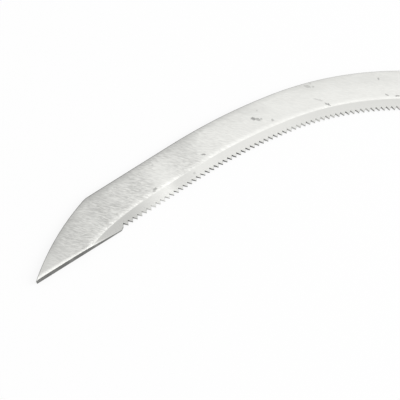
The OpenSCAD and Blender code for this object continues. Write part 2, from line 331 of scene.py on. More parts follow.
class Group(Graph):
    """A node group in the making, whose inputs are a vector and named values."""

    def __init__(self, name: str, given: tuple[str, ...], made: tuple[str, ...] = ("Mask",)) -> None:
        """Make the sockets and the two end nodes.

        Args:
            name: Name of the group.
            given: Names of the inputs beside the vector.
            made: Names of the outputs.
        """
        super().__init__(bpy.data.node_groups.new(name, "ShaderNodeTree"))
        for label in ("Vector", *given):
            kind = "NodeSocketVector" if label in ("Vector", "Centre") else "NodeSocketFloat"
            self.tree.interface.new_socket(name=label, in_out="INPUT", socket_type=kind)
        for label in made:
            self.tree.interface.new_socket(name=label, in_out="OUTPUT", socket_type="NodeSocketFloat")
        self.given = self.tree.nodes.new("NodeGroupInput").outputs
        self.made = self.tree.nodes.new("NodeGroupOutput").inputs

    def finish(self, **results: Socket) -> Tree:
        """Link the results to the group's outputs.

        Args:
            results: Socket of each output.

        Returns:
            The group.
        """
        for name, socket in results.items():
            self.put(self.made[name], socket)
        return self.tree


class Effects:
    """The effects that the finishes share, each a node group that is built once."""

    def __init__(self) -> None:
        """Build the groups."""
        self.blemish = self.build_blemish()
        self.brushing = self.build_brushing()
        self.wear = self.build_wear()
        self.pits = self.build_pits()
        # Painted shade from ambient occlusion, shared by the finishes.
        self.occlusion_shade = self.build_occlusion_shade()
        self.grain = self.build_grain()

    def build_brushing(self) -> Tree:
        """Make fine grinding lines along one direction, which waver and come in bundles.

        Returns:
            The group.
        """
        g = Group("Brushing", ("Turn", "Length", "Width", "Waver"), ("Lines", "Bundles"))
        at = g.given
        drift = g.drift(at["Vector"], scale=120.0, detail=2.0)
        pushed = g.add("VectorMath", {0: drift, 3: at["Waver"]}, operation="SCALE").outputs[0]
        x, y, z = g.axes(g.turned(g.vector("ADD", at["Vector"], pushed), at["Turn"]))
        long, wide = g.math("DIVIDE", x, at["Length"]), g.math("DIVIDE", y, at["Width"])
        fine = g.join(long, wide, g.math("DIVIDE", z, at["Width"]))
        bundles = g.noise(g.vector("MULTIPLY", fine, (0.6, 0.22, 0.22)), scale=1.0, detail=2.0)
        lines = g.fade(g.noise(fine, scale=1.0, detail=3.0, rough=0.62), start=0.3, end=0.7)
        return g.finish(Lines=lines, Bundles=g.fade(bundles, start=0.32, end=0.68))

    def build_wear(self) -> Tree:
        """Make wear along the edges of a piece, broken up by noise.

        Returns:
            The group.
        """
        g = Group("Edge wear", ("Reach", "Amount", "Scale"))
        at = g.given
        soft = g.add("Bevel", {"Radius": at["Reach"]}, samples=4).outputs[0]
        dot = g.vector("DOT_PRODUCT", soft, g.add("NewGeometry").outputs["Normal"])
        edge = g.fade(g.math("SUBTRACT", 1.0, dot), start=0.005, end=0.12)
        broken = g.fade(g.noise(at["Vector"], at["Scale"], detail=3.0, rough=0.6), start=0.3, end=0.62)
        return g.finish(Mask=g.math("MULTIPLY", g.times(edge, broken), at["Amount"], clamp=True))

    def build_pits(self) -> Tree:
        """Make sparse small pits of uneven size.

        Returns:
            The group.
        """
        g = Group("Pits", ("Scale", "Share", "Size"))
        at = g.given
        cells = g.add("TexVoronoi", {"Vector": at["Vector"], "Scale": at["Scale"]}).outputs
        chance = g.add("SeparateColor", {0: cells["Color"]}).outputs
        rim = g.times(at["Size"], g.math("ADD", chance[1], 0.35))
        inside = g.math("SUBTRACT", 1.0, g.math("DIVIDE", cells["Distance"], rim), clamp=True)
        chosen = g.math("LESS_THAN", chance[0], at["Share"])
        return g.finish(Mask=g.times(g.fade(inside, start=0.0, end=0.45), chosen))

    def build_blemish(self) -> Tree:
        """Make one oval mark, turned in the plane of the blade.

        Returns:
            The group.
        """
        g = Group("Blemish", ("Centre", "Turn", "Length", "Width"))
        at = g.given
        x, y, _ = g.axes(g.turned(g.vector("SUBTRACT", at["Vector"], at["Centre"]), at["Turn"]))
        shape = g.join(g.math("DIVIDE", x, at["Length"]), g.math("DIVIDE", y, at["Width"]))
        return g.finish(Mask=g.fade(g.vector("LENGTH", shape), start=0.55, end=0.3))

    def build_occlusion_shade(self) -> Tree:
        """Make painted shade where pieces meet and in hollows, from ambient occlusion broken up by noise.

        Returns:
            The group.
        """
        g = Group("Occlusion_shade", ("Reach", "Amount", "Scale"))
        at = g.given
        shade = g.add("AmbientOcclusion", {"Distance": at["Reach"]}, samples=6)
        spots = g.noise(at["Vector"], at["Scale"], detail=4.0, rough=0.6)
        spots = g.fade(spots, start=0.2, end=0.6, first=0.45)
        # Painted shade: the more a point is enclosed by nearby surfaces, the darker it is painted.
        mask = g.times(g.fade(shade.outputs["AO"], start=0.9, end=0.35), spots)
        return g.finish(Mask=g.math("MULTIPLY", mask, at["Amount"], clamp=True))

    def build_grain(self) -> Tree:
        """Make growth rings cut along the stem, with open pores.

        Returns:
            The group.
        """
        g = Group("Wood grain", ("Gap", "Pore"), ("Rings", "Pores", "Fleck"))
        at = g.given
        drift = g.drift(g.vector("MULTIPLY", at["Vector"], (14.0, 60.0, 60.0)), scale=1.0, detail=3.0)
        bent = g.vector("ADD", at["Vector"], g.vector("MULTIPLY", drift, (0.0, 0.006, 0.006)))
        x, y, z = g.axes(bent)
        stem = g.vector("ADD", g.join(g.times(x, 0.05), y, z), (0.0, 0.031, 0.012))
        rings = g.math("FRACT", g.math("DIVIDE", g.vector("LENGTH", stem), at["Gap"]))
        late = g.times(g.fade(rings, start=0.35, end=0.93), g.fade(rings, start=1.0, end=0.95))
        fibre = g.join(g.math("DIVIDE", x, at["Pore"]), g.times(y, 3200.0), g.times(z, 3200.0))
        pores = g.fade(g.noise(fibre, scale=1.0, detail=2.0, rough=0.6), start=0.36, end=0.26)
        fleck = g.noise(g.vector("MULTIPLY", bent, (60.0, 900.0, 900.0)), scale=1.0, detail=3.0, rough=0.6)
        return g.finish(Rings=late, Pores=pores, Fleck=fleck)


def clear_nodes(owner: Material | bpy.types.World) -> Tree:
    """Give a material or world an empty node tree.

    Args:
        owner: The material or world.

    Returns:
        The tree.
    """
    owner.use_nodes = True
    owner.node_tree.nodes.clear()
    return owner.node_tree


class Coat(Graph):
    """One material in the making: its Principled shader and the piece's own coordinates."""

    def __init__(self, name: str) -> None:
        """Start the material.

        Args:
            name: Name of the material.
        """
        self.material = bpy.data.materials.new(name)
        super().__init__(clear_nodes(self.material))
        self.shader = self.add("BsdfPrincipled")
        self.add("OutputMaterial", {0: self.shader.outputs[0]})
        place = self.add("TexCoord").outputs
        self.where, self.normal = place["Object"], place["Normal"]

    def effect(self, tree: Tree, **inputs: Input) -> dict[str, Socket]:
        """Place a shared effect, on the piece's own coordinates unless others are given."""
        return self.group(tree, **{"Vector": self.where, **inputs})

    def mask(self, tree: Tree, **inputs: Input) -> Socket:
        """Place a shared effect that makes a mask."""
        return self.effect(tree, **inputs)["Mask"]

    def finish(self, **inputs: Input) -> Material:
        """Feed the shader.

        Args:
            inputs: Value or socket of each input, named with underscores for spaces.

        Returns:
            The material.
        """
        for name, value in inputs.items():
            self.put(self.shader.inputs[name.replace("_", " ")], value)
        return self.material


# Finishes


@dataclass(frozen=True)
class Mark:
    """A small dark mark on the blade's upper face, in millimetres and degrees."""

    x: float
    y: float
    length: float
    width: float
    turn: float
    depth: float


MARKS = (
    Mark(-162.85, -65.1, 2.0, 1.1, 100, 0.45),
    Mark(-162.2, -65.6, 1.6, 0.8, 60, 0.35),
    Mark(-169.2, -43.3, 2.2, 0.8, 70, 0.55),
    Mark(-175.9, -19.6, 2.2, 1.7, 50, 0.6),
    Mark(-175.0, -18.1, 2.4, 1.4, 40, 0.45),
    Mark(-174.6, -16.9, 1.2, 1.0, 40, 0.35),
    Mark(-172.5, -13.1, 1.3, 1.1, 30, 0.35),
    Mark(-181.0, 6.1, 3.2, 1.6, 50, 0.25),
    Mark(-180.0, 8.1, 1.2, 1.0, 50, 0.25),
    Mark(-170.5, 9.4, 3.0, 0.8, 36, 0.6),
    Mark(-173.7, 7.1, 5.0, 0.7, 50, 0.2),
    Mark(-173.1, 33.2, 1.2, 1.0, 0, 0.4),
    Mark(-165.1, 32.4, 1.6, 0.8, 30, 0.5),
    Mark(-163.1, 36.0, 2.6, 0.8, 66, 0.55),
)


class BladeCoat(Coat):
    """The blade's material in the making, which knows where a point lies on the blade."""

    def __init__(self, name: str) -> None:
        """Start the material, and read the numbers that the blade's mesh holds.

        Args:
            name: Name of the material.
        """
        super().__init__(name)
        self.along = self.attribute("along_blade")
        self.rim = self.attribute("from_spine")
        self.on_bevel = self.fade(self.attribute("in_bevel"), start=0.0, end=0.1)
        self.worn = self.attribute("worn_edge")
        self.teeth = self.attribute("tooth_rim")
        self.patchy = self.fade(self.noise(self.where, scale=110.0, detail=2.0), start=0.38, end=0.62)
        self.flat = self.math("ABSOLUTE", self.axes(self.normal)[2])

    def run(self, *fades: Fade) -> Socket:
        """Multiply fades that run along the blade."""
        return self.times(*(self.fade(self.along, *fade) for fade in fades))

    def scattered(self, mask: Socket, first: float, last: float = 1.0) -> Socket:
        """Let a mask thin a finish out, from first where it is 0 to last where it is 1."""
        return self.fade(mask, 0.0, 1.0, first, last)


@dataclass(frozen=True)
class GroundSteel:
    """Bright ground steel of the blade, with painted sheen and shade on its face and bevel, and its cut
    sides painted dark as shade with painted highlights on some tooth flanks.

    A fade holds where it starts and ends, and the values there where they aren't 0 and 1. It runs along
    the blade, from 0 at the heel to 1 at the point, or where it is named after a rim or the teeth across
    it, from 0 at the spine to 1 at the tooth line.
    """

    effects: Effects
    # Colours
    face: Colour = grey(0.775)
    fresh: Colour = grey(0.93)
    line: Colour = grey(0.54)
    # Painted sheen: the bright bands laid on the face.
    painted_sheen: Colour = grey(0.955)
    # Painted shade along the spine.
    spine: Colour = grey(0.45)
    # Painted shade on the bevel.
    bevel: Colour = grey(0.483)
    # Painted shade on the bevel near its run-out.
    run_out_shade: Colour = grey(0.443)
    point: Colour = grey(0.86)
    # Bare worn edge of the tip, painted brighter as a highlight as well.
    worn: Colour = grey(0.98)
    # Painted shade: a thin dark line along the spine and the clipped edge.
    edge_line_shade: Colour = grey(0.2)
    filed: Colour = grey(0.27)
    # Painted shade on the upright cut sides.
    side_shade: Colour = grey(0.12)
    tip_side: Colour = grey(0.18)
    dark_side: Colour = grey(0.035)
    spotted_side: Colour = grey(0.36)
    # Painted highlight on some tooth flanks.
    side_highlight: Colour = grey(0.6)
    # Painted highlight on the flanks of the first teeth.
    first_teeth_highlight: Colour = grey(0.9)
    spine_side: Colour = grey(0.52)
    mark: Colour = grey(0.1)
    pit: Colour = grey(0.2)
    # Grinding lines, marks and relief
    turn: float = math.radians(-53)
    freshness: float = 0.5
    flames: float = 0.35
    spots: float = 0.3
    spine_near: float = 0.1
    line_depth: float = 0.8
    pit_depth: float = 0.5
    pit_shade: float = 0.25
    rough: float = 0.38
    line_rough: float = 0.1
    mark_drift: Point3 = (0.0011, 0.0011, 0.0)
    mark_floor: float = 0.0012
    # Fades of the face and the bevel
    lines_grow: Fade = (0.7, 0.87, 0.3, 1.0)
    flames_rim: Fade = (0.5, 0.1, 0.15, 1.0)
    # Where the painted sheen lies along the face.
    sheen_start: Fade = (0.875, 0.848, 0.0, 0.42)
    sheen_end: Fade = (0.828, 0.848)
    second_sheen_start: Fade = (0.812, 0.8, 0.0, 0.15)
    second_sheen_end: Fade = (0.73, 0.78)
    sheen_rim: Fade = (0.05, 0.3)
    spine_shade_rim: Fade = (0.16, 0.0)
    spine_shade_grow: Fade = (0.6, 0.88, 0.18, 0.58)
    spine_shade_tip: Fade = (0.91, 0.95, 1.0, 0.75)
    bevel_shade: Fade = (0.853, 0.838, 0.0, 0.56)
    bevel_shade_lift: Fade = (0.828, 0.812, 0.0, 0.22)
    bevel_shade_fall: Fade = (0.8, 0.782, 0.0, 0.1)
    bevel_shade_heel: Fade = (0.72, 0.66, 0.0, 0.12)
    run_out_shade_grow: Fade = (0.84, 0.9, 0.0, 0.9)
    point_light: Fade = (0.965, 0.99, 0.0, 0.5)
    worn_glint_grow: Fade = (0.9, 0.98)
    edge_line_shade_rim: Fade = (0.024, 0.006)
    edge_line_shade_grow: Fade = (0.6, 0.93, 0.25, 0.85)
    filed_rim: Fade = (0.25, 0.75)
    filed_start: Fade = (0.815, 0.795)
    filed_heel: Fade = (0.62, 0.74, 0.25, 0.55)
    # Fades of the painted shade and highlights on the sides
    side_tip: Fade = (0.885, 0.9)
    dark_start: Fade = (0.735, 0.76)
    dark_end: Fade = (0.83, 0.805)
    light_heel: Fade = (0.76, 0.69)
    light_tip: Fade = (0.82, 0.86, 0.0, 0.9)
    light_end: Fade = (0.9, 0.88)
    first_teeth: Fade = (0.85, 0.862, 0.0, 0.3)
    spine_side_heel: Fade = (0.9, 0.6, 0.1, 0.75)
    flank: Fade = (0.9, 0.76)

    def upper_face(self, g: BladeCoat, lines: Socket, amount: Socket) -> Socket:
        """Colour the ground face from its lines, the broad streaks of the spine, a painted sheen in bands
        and a painted shade along the spine.

        Args:
            g: The material.
            lines: Strength of the grinding lines.
            amount: How freshly ground the face is.

        Returns:
            The colour.
        """
        base = g.blend(g.times(amount, self.freshness), self.face, self.fresh)
        base = g.blend(lines, base, self.line)
        brush = g.effect(self.effects.brushing, Turn=self.turn, Length=0.013, Width=0.0017, Waver=0.006)
        flames = g.times(brush["Bundles"], g.fade(g.rim, *self.flames_rim), self.flames)
        base = g.blend(g.times(flames, g.scattered(g.on_bevel, first=1.0, last=0.1)), base, self.line)
        # Painted sheen: brighter bands on the face, away from the spine and the bevel.
        polish_and_sheen = g.run(self.sheen_start, self.sheen_end)
        polish_and_sheen = g.math("ADD", polish_and_sheen, g.run(self.second_sheen_start, self.second_sheen_end))
        off_bevel = g.scattered(g.on_bevel, first=1.0, last=0.0)
        polish_and_sheen = g.times(polish_and_sheen, g.fade(g.rim, *self.sheen_rim), off_bevel)
        base = g.blend(polish_and_sheen, base, self.painted_sheen)
        # Painted shade: the face darkened along the spine.
        dark = g.times(g.fade(g.rim, *self.spine_shade_rim), g.run(self.spine_shade_grow, self.spine_shade_tip))
        return g.blend(dark, base, self.spine)

    def edges(self, g: BladeCoat, base: Socket) -> Socket:
        """Colour the bevel and its run-out with painted shade, the worn edge of the tip, painted brighter as
        a highlight too, a thin line of painted shade along the spine and the filed tooth line.

        Args:
            g: The material.
            base: Colour of the face.

        Returns:
            The colour.
        """
        # Painted shade on the bevel, darker or lighter along the blade.
        shade = g.math("SUBTRACT", g.run(self.bevel_shade), g.run(self.bevel_shade_lift))
        for more in (self.bevel_shade_fall, self.bevel_shade_heel):
            shade = g.math("ADD", shade, g.run(more))
        base = g.blend(g.times(shade, g.on_bevel), base, self.bevel)
        # Painted shade on the bevel near its run-out.
        base = g.blend(g.times(g.run(self.run_out_shade_grow), g.on_bevel), base, self.run_out_shade)
        base = g.blend(g.run(self.point_light), base, self.point)
        # Worn edge of the tip: bare metal, painted brighter as a highlight as well.
        base = g.blend(g.times(g.worn, g.run(self.worn_glint_grow)), base, self.worn)
        # Painted shade: a thin dark line along the spine and the clipped edge, standing in for the shade of
        # its rounded edge.
        base = g.blend(g.times(g.fade(g.rim, *self.edge_line_shade_rim), g.run(self.edge_line_shade_grow)), base, self.edge_line_shade)
        filed = g.times(g.fade(g.teeth, *self.filed_rim), g.run(self.filed_start, self.filed_heel))
        return g.blend(g.times(filed, g.scattered(g.patchy, first=0.4)), base, self.filed)

    def sides(self, g: BladeCoat) -> Socket:
        """Paint shade on the cut sides and the flanks of the teeth, and highlights on some flanks, which
        differ from tooth to tooth.

        Args:
            g: The material.

        Returns:
            The colour.
        """
        side = g.blend(g.run(self.side_tip), self.side_shade, self.tip_side)
        side = g.blend(g.run(self.dark_start, self.dark_end), side, self.dark_side)
        each = g.fade(g.noise(g.where, scale=290.0, detail=1.0, rough=0.4), start=0.42, end=0.58)
        side = g.blend(g.times(each, g.patchy, self.spots), side, self.spotted_side)
        reach = g.times(g.math("ADD", g.run(self.light_heel), g.run(self.light_tip)), g.run(self.light_end))
        broken = g.times(g.scattered(g.patchy, first=0.5), g.scattered(each, first=0.6))
        side = g.blend(g.times(broken, reach), side, self.side_highlight)
        side = g.blend(g.run(self.first_teeth, self.light_end), side, self.first_teeth_highlight)
        near_spine = g.times(g.math("LESS_THAN", g.rim, self.spine_near), g.run(self.spine_side_heel))
        return g.blend(near_spine, side, self.spine_side)

    def marks(self, g: BladeCoat) -> Socket:
        """Lay the small dark marks on the upper face.

        Args:
            g: The material.

        Returns:
            The strength of the marks.
        """
        drift = g.vector("MULTIPLY", g.drift(g.where, scale=1500.0, detail=2.0), self.mark_drift)
        place = {"Vector": g.vector("ADD", g.where, drift)}
        total: Input = 0.0
        for mark in MARKS:
            place |= {"Centre": (mark.x * MM, mark.y * MM, 0.0), "Turn": math.radians(-mark.turn)}
            spot = g.mask(self.effects.blemish, **place, Length=mark.length * MM, Width=mark.width * MM)
            total = g.math("MAXIMUM", total, g.times(spot, mark.depth))
        return g.times(total, g.math("GREATER_THAN", g.axes(g.where)[2], self.mark_floor))

    def build(self) -> Material:
        """Build the material.

        Returns:
            The material.
        """
        g = BladeCoat("ground_steel")
        amount = g.times(g.run(self.lines_grow), g.scattered(g.on_bevel, first=1.0, last=0.3))
        brush = g.effect(self.effects.brushing, Turn=self.turn, Length=0.0024, Width=0.00036, Waver=0.0022)
        cloud = g.noise(g.where, scale=95.0, detail=3.0, rough=0.55)
        cloud = g.fade(cloud, start=0.3, end=0.62, first=0.62, last=0.95)
        lines = g.times(brush["Lines"], cloud, amount)
        base = self.edges(g, self.upper_face(g, lines, amount))
        # Painted shade and highlights on the near-upright sides and tooth flanks.
        base = g.blend(g.fade(g.flat, *self.flank), base, self.sides(g))
        marks = self.marks(g)
        pits = g.mask(self.effects.pits, Scale=330.0, Share=0.06, Size=0.2)
        base = g.blend(g.times(pits, self.pit_shade), g.blend(marks, base, self.mark), self.pit)
        height = g.math("SUBTRACT", g.times(lines, self.line_depth), g.times(pits, self.pit_depth))
        normal = g.bump(g.math("SUBTRACT", height, marks), strength=0.5, distance=0.00004)
        rough = g.math("ADD", g.times(lines, self.line_rough), self.rough)
        return g.finish(Base_Color=base, Metallic=1.0, Roughness=rough, Normal=normal)


@dataclass(frozen=True)
class ForgedSteel:
    """Dark forged bar with scale, rubbed brighter along its edges."""

    effects: Effects
    scale: Colour = (0.105, 0.107, 0.112)
    warm: Colour = (0.15, 0.128, 0.108)
    bare: Colour = (0.30, 0.30, 0.30)
    rubbed: Colour = (0.52, 0.515, 0.505)
    # Colour of the painted shade where pieces meet.
    occlusion_shade_colour: Colour = (0.035, 0.03, 0.026)
    flake_shade: float = 0.3
    flake_depth: float = 0.6
    rough: float = 0.34
    fine_rough: float = 0.3
    wear_polish: float = 0.14
    flake_polish: float = 0.06

    def build(self) -> Material:
        """Build the material.

        Returns:
            The material.
        """
        g = Coat("forged_steel")
        blotch = g.noise(g.where, scale=160.0, detail=5.0, rough=0.6)
        blotch = g.fade(blotch, start=0.5, end=0.72, last=0.7)
        flaked = g.noise(g.where, scale=260.0, detail=6.0, rough=0.72, bend=0.3)
        flaked = g.fade(flaked, start=0.5, end=0.64)
        fine = g.noise(g.where, scale=1500.0, detail=4.0, rough=0.65)
        wear = g.mask(self.effects.wear, Reach=0.0009, Amount=0.9, Scale=700.0)
        occlusion_shade = g.mask(self.effects.occlusion_shade, Reach=0.004, Amount=0.7, Scale=400.0)
        pits = g.mask(self.effects.pits, Scale=420.0, Share=0.35, Size=0.3)
        base = g.blend(g.times(flaked, self.flake_shade), g.blend(blotch, self.scale, self.warm), self.bare)
        base = g.blend(g.fade(fine, start=0.45, end=0.75, last=0.3), base, self.bare)
        # Painted shade from ambient occlusion darkens the bar where pieces meet, over the rubbed edges.
        base = g.blend(occlusion_shade, g.blend(wear, base, self.rubbed), self.occlusion_shade_colour)
        rough = g.math("ADD", g.times(fine, self.fine_rough), self.rough)
        for mask, polish_and_sheen in ((wear, self.wear_polish), (flaked, self.flake_polish)):
            rough = g.math("SUBTRACT", rough, g.times(mask, polish_and_sheen))
        height = g.math("SUBTRACT", fine, g.math("ADD", pits, g.times(flaked, self.flake_depth)))
        hammered = g.noise(g.where, scale=230.0, detail=2.0, rough=0.4)
        hammered = g.bump(hammered, strength=0.6, distance=0.0006)
        normal = g.bump(height, strength=0.4, distance=0.00012, Normal=hammered)
        return g.finish(Base_Color=base, Metallic=1.0, Roughness=rough, Normal=normal)


class Fitting(Enum):
    """The small steel fittings: name, colour, roughness and depth of their grinding lines."""

    RIVET = ("rivet_steel", (0.30, 0.295, 0.29), 0.42, 0.2)
    WASHER = ("washer_steel", (0.46, 0.455, 0.445), 0.38, 0.35)
    FERRULE = ("ferrule_steel", (0.56, 0.56, 0.55), 0.3, 0.5)


@dataclass(frozen=True)
class FittingSteel:
    """Turned or hammered steel of one kind of fitting."""

    effects: Effects
    kind: Fitting
    shade: float = 0.55
    line_shade: float = 0.5
    blotch_rough: float = 0.25
    polish_and_sheen: float = 0.1
    turn: float = math.radians(90)
    worn: Colour = (0.66, 0.655, 0.64)
    # Colour of the painted shade where pieces meet.
    occlusion_shade_colour: Colour = (0.05, 0.042, 0.035)

    def build(self) -> Material:
        """Build the material.

        Returns:
            The material.
        """
        name, colour, rough, depth = self.kind.value
        g = Coat(name)
        brush = g.effect(self.effects.brushing, Turn=self.turn, Length=0.03, Width=0.00022, Waver=0.0002)
        blotch = g.noise(g.where, scale=240.0, detail=4.0, rough=0.6)
        wear = g.mask(self.effects.wear, Reach=0.0005, Amount=0.7, Scale=900.0)
        occlusion_shade = g.mask(self.effects.occlusion_shade, Reach=0.0025, Amount=0.8, Scale=500.0)
        pits = g.mask(self.effects.pits, Scale=700.0, Share=0.15, Size=0.25)
        darker = tuple(self.shade * c for c in colour)
        base = g.blend(g.fade(blotch, start=0.38, end=0.72, last=0.55), colour, darker)
        base = g.blend(g.times(brush["Lines"], self.line_shade * depth), base, darker)
        # Painted shade from ambient occlusion darkens the fitting where pieces meet, under the worn edges.
        base = g.blend(occlusion_shade, g.blend(wear, base, self.worn), self.occlusion_shade_colour)
        roughness = g.math("ADD", g.times(blotch, self.blotch_rough), rough - self.polish_and_sheen)
        height = g.math("SUBTRACT", g.times(brush["Lines"], depth), pits)
        normal = g.bump(height, strength=0.3, distance=0.00008)
        return g.finish(Base_Color=base, Metallic=1.0, Roughness=roughness, Normal=normal)


@dataclass(frozen=True)
class OiledHardwood:
    """Turned ash that has been oiled and handled."""

    effects: Effects
    pale: Colour = (0.56, 0.36, 0.19)
    late: Colour = (0.36, 0.20, 0.09)
    pore: Colour = (0.13, 0.07, 0.035)
    handled: Colour = (0.27, 0.15, 0.07)
    # Colour of the painted shade where pieces meet.
    occlusion_shade_colour: Colour = (0.07, 0.04, 0.022)
    worn: Colour = (0.64, 0.45, 0.27)
    stretch: Point3 = (0.4, 1.0, 1.0)
    ring_shade: float = 0.8
    pore_shade: float = 0.6
    nick_shade: float = 0.5
    pore_rough: float = 0.2
    ring_height: float = 0.35
    nick_depth: float = 2.0
    rounding: float = 0.0006

    def build(self) -> Material:
        """Build the material.

        Returns:
            The material.
        """
        g = Coat("oiled_hardwood")
        grain = g.effect(self.effects.grain, Gap=0.0019, Pore=0.0045)
        rings, pores = grain["Rings"], grain["Pores"]
        cloud = g.noise(g.where, scale=38.0, detail=3.0)
        stretched = g.vector("MULTIPLY", g.where, self.stretch)
        nicks = g.mask(self.effects.pits, Vector=stretched, Scale=150.0, Share=0.1, Size=0.12)
        occlusion_shade = g.mask(self.effects.occlusion_shade, Reach=0.004, Amount=0.85, Scale=300.0)
        wear = g.mask(self.effects.wear, Reach=0.001, Amount=0.5, Scale=400.0)
        base = g.blend(g.times(rings, self.ring_shade), self.pale, self.late)
        base = g.blend(g.fade(grain["Fleck"], start=0.4, end=0.7, last=0.35), base, self.late)
        base = g.blend(g.times(pores, self.pore_shade), base, self.pore)
        base = g.blend(g.fade(cloud, start=0.42, end=0.7, last=0.42), base, self.handled)
        base = g.blend(g.times(nicks, self.nick_shade), base, self.pore)
        # Painted shade from ambient occlusion darkens the wood where pieces meet, under the worn edges.
        base = g.blend(wear, g.blend(occlusion_shade, base, self.occlusion_shade_colour), self.worn)
        rough = g.fade(cloud, start=0.3, end=0.7, first=0.36, last=0.5)
        rough = g.math("ADD", g.times(pores, self.pore_rough), rough)
        height = g.math("SUBTRACT", g.times(rings, self.ring_height), pores)
        height = g.math("SUBTRACT", height, g.times(nicks, self.nick_depth))
        soft = g.add("Bevel", {"Radius": self.rounding}, samples=6).outputs[0]
        normal = g.bump(height, strength=0.4, distance=0.0001, Normal=soft)
        g.finish(Coat_Weight=0.12, Coat_Roughness=0.3)
        return g.finish(Base_Color=base, Roughness=rough, Normal=normal)


class Finishes:
    """The sickle's materials, each built once."""

    def __init__(self, effects: Effects) -> None:
        """Build every material.

        Args:
            effects: The shared effects.
        """
        self.ground = GroundSteel(effects).build()
        self.forged = ForgedSteel(effects).build()
        self.rivet, self.washer, self.ferrule = (FittingSteel(effects, kind).build() for kind in Fitting)
        self.wood = OiledHardwood(effects).build()


# The sickle's own geometry


@dataclass(frozen=True)
class Layout:
    """Where the pieces meet: the handle's axis, the shoulder, the edgewise bend and the palm."""

    axis_y: float = 78.3797
    axis_z: float = 15.5
    shoulder_x: float = 57.3227
    shoulder_run: float = 5.0
    crank_len: float = 30.0
    bend_r: float = 40.0
    heel_angle: float = math.radians(25)
    heel_gap: float = 3.0
    blade_thick: float = 2.2

    @property
    def crank_x(self) -> float:
        """X where the crank begins."""
        return self.shoulder_x - self.shoulder_run

    @property
    def bend_x(self) -> float:
        """X where the edgewise bend begins."""
        return self.crank_x - self.crank_len

    @property
    def heading(self) -> float:
        """Direction of the palm, away from the handle."""
        return math.pi - self.heel_angle

    def on_axis(self, run: float) -> Point3:
        """Find a point on the handle's axis, at a distance behind the shoulder."""
        return self.shoulder_x + run, self.axis_y, self.axis_z

    def on_bend(self, angle: float) -> Point2:
        """Find a point in the middle of the edgewise bend, at an angle from its start."""
        return self.bend_x - self.bend_r * math.sin(angle), self.axis_y + self.bend_r * (1 - math.cos(angle))

    def on_palm(self, run: float, side: float = 0.0) -> Point2:
        """Find a point on the palm.

        Args:
            run: Distance beyond the edgewise bend.
            side: Distance to the left of the way toward the tip.

        Returns:
            The point in the frame of the model.
        """
        x, y = self.on_bend(self.heel_angle)
        step_x, step_y = math.cos(self.heading), math.sin(self.heading)
        return x + run * step_x - side * step_y, y + run * step_y + side * step_x


LAYOUT = Layout()


@dataclass(frozen=True)
class Stretch:
    """One stretch of the spine: its length, and the radius of its bend, 0 where it is straight."""

    length: float
    radius: float

    def share(self, width: float) -> float:
        """Length of the tooth line beside this stretch, as a share of the spine's."""
        return 1.0 if self.radius == 0 else (self.radius - width) / self.radius


@dataclass(frozen=True)
class SpinePath:
    """The spine of the blade, walked from the heel to the clipped corner with the teeth on the left."""

    stretches: tuple[Stretch, ...]
    start: Point2
    heading: float

    def at(self, station: float, off: float) -> Point2:
        """Find a point beside the spine.

        Args:
            station: Distance from the heel along the spine, or straight on beyond its end.
            off: Distance from the spine toward the teeth.

        Returns:
            The point in the frame of the model.
        """
        x, y = self.start
        head, left = self.heading, station
        for part in self.stretches:
            run = left if part is self.stretches[-1] else min(left, part.length)
            if part.radius == 0:
                x += run * math.cos(head)
                y += run * math.sin(head)
            else:
                turned = head + run / part.radius
                x += part.radius * (math.sin(turned) - math.sin(head))
                y += part.radius * (math.cos(head) - math.cos(turned))
                head = turned
            left -= run
        return x - off * math.sin(head), y + off * math.cos(head)

    def station_of_edge(self, run: float, width: float) -> float:
        """Turn a distance along the tooth line into a station of the spine.

        Args:
            run: Distance from the heel along the tooth line.
            width: Distance between the spine and the tooth line.

        Returns:
            The station.
        """
        station = 0.0
        for part in self.stretches:
            share = part.share(width)
            if run <= part.length * share:
                return station + run / share
            run -= part.length * share
            station += part.length
        return station + run


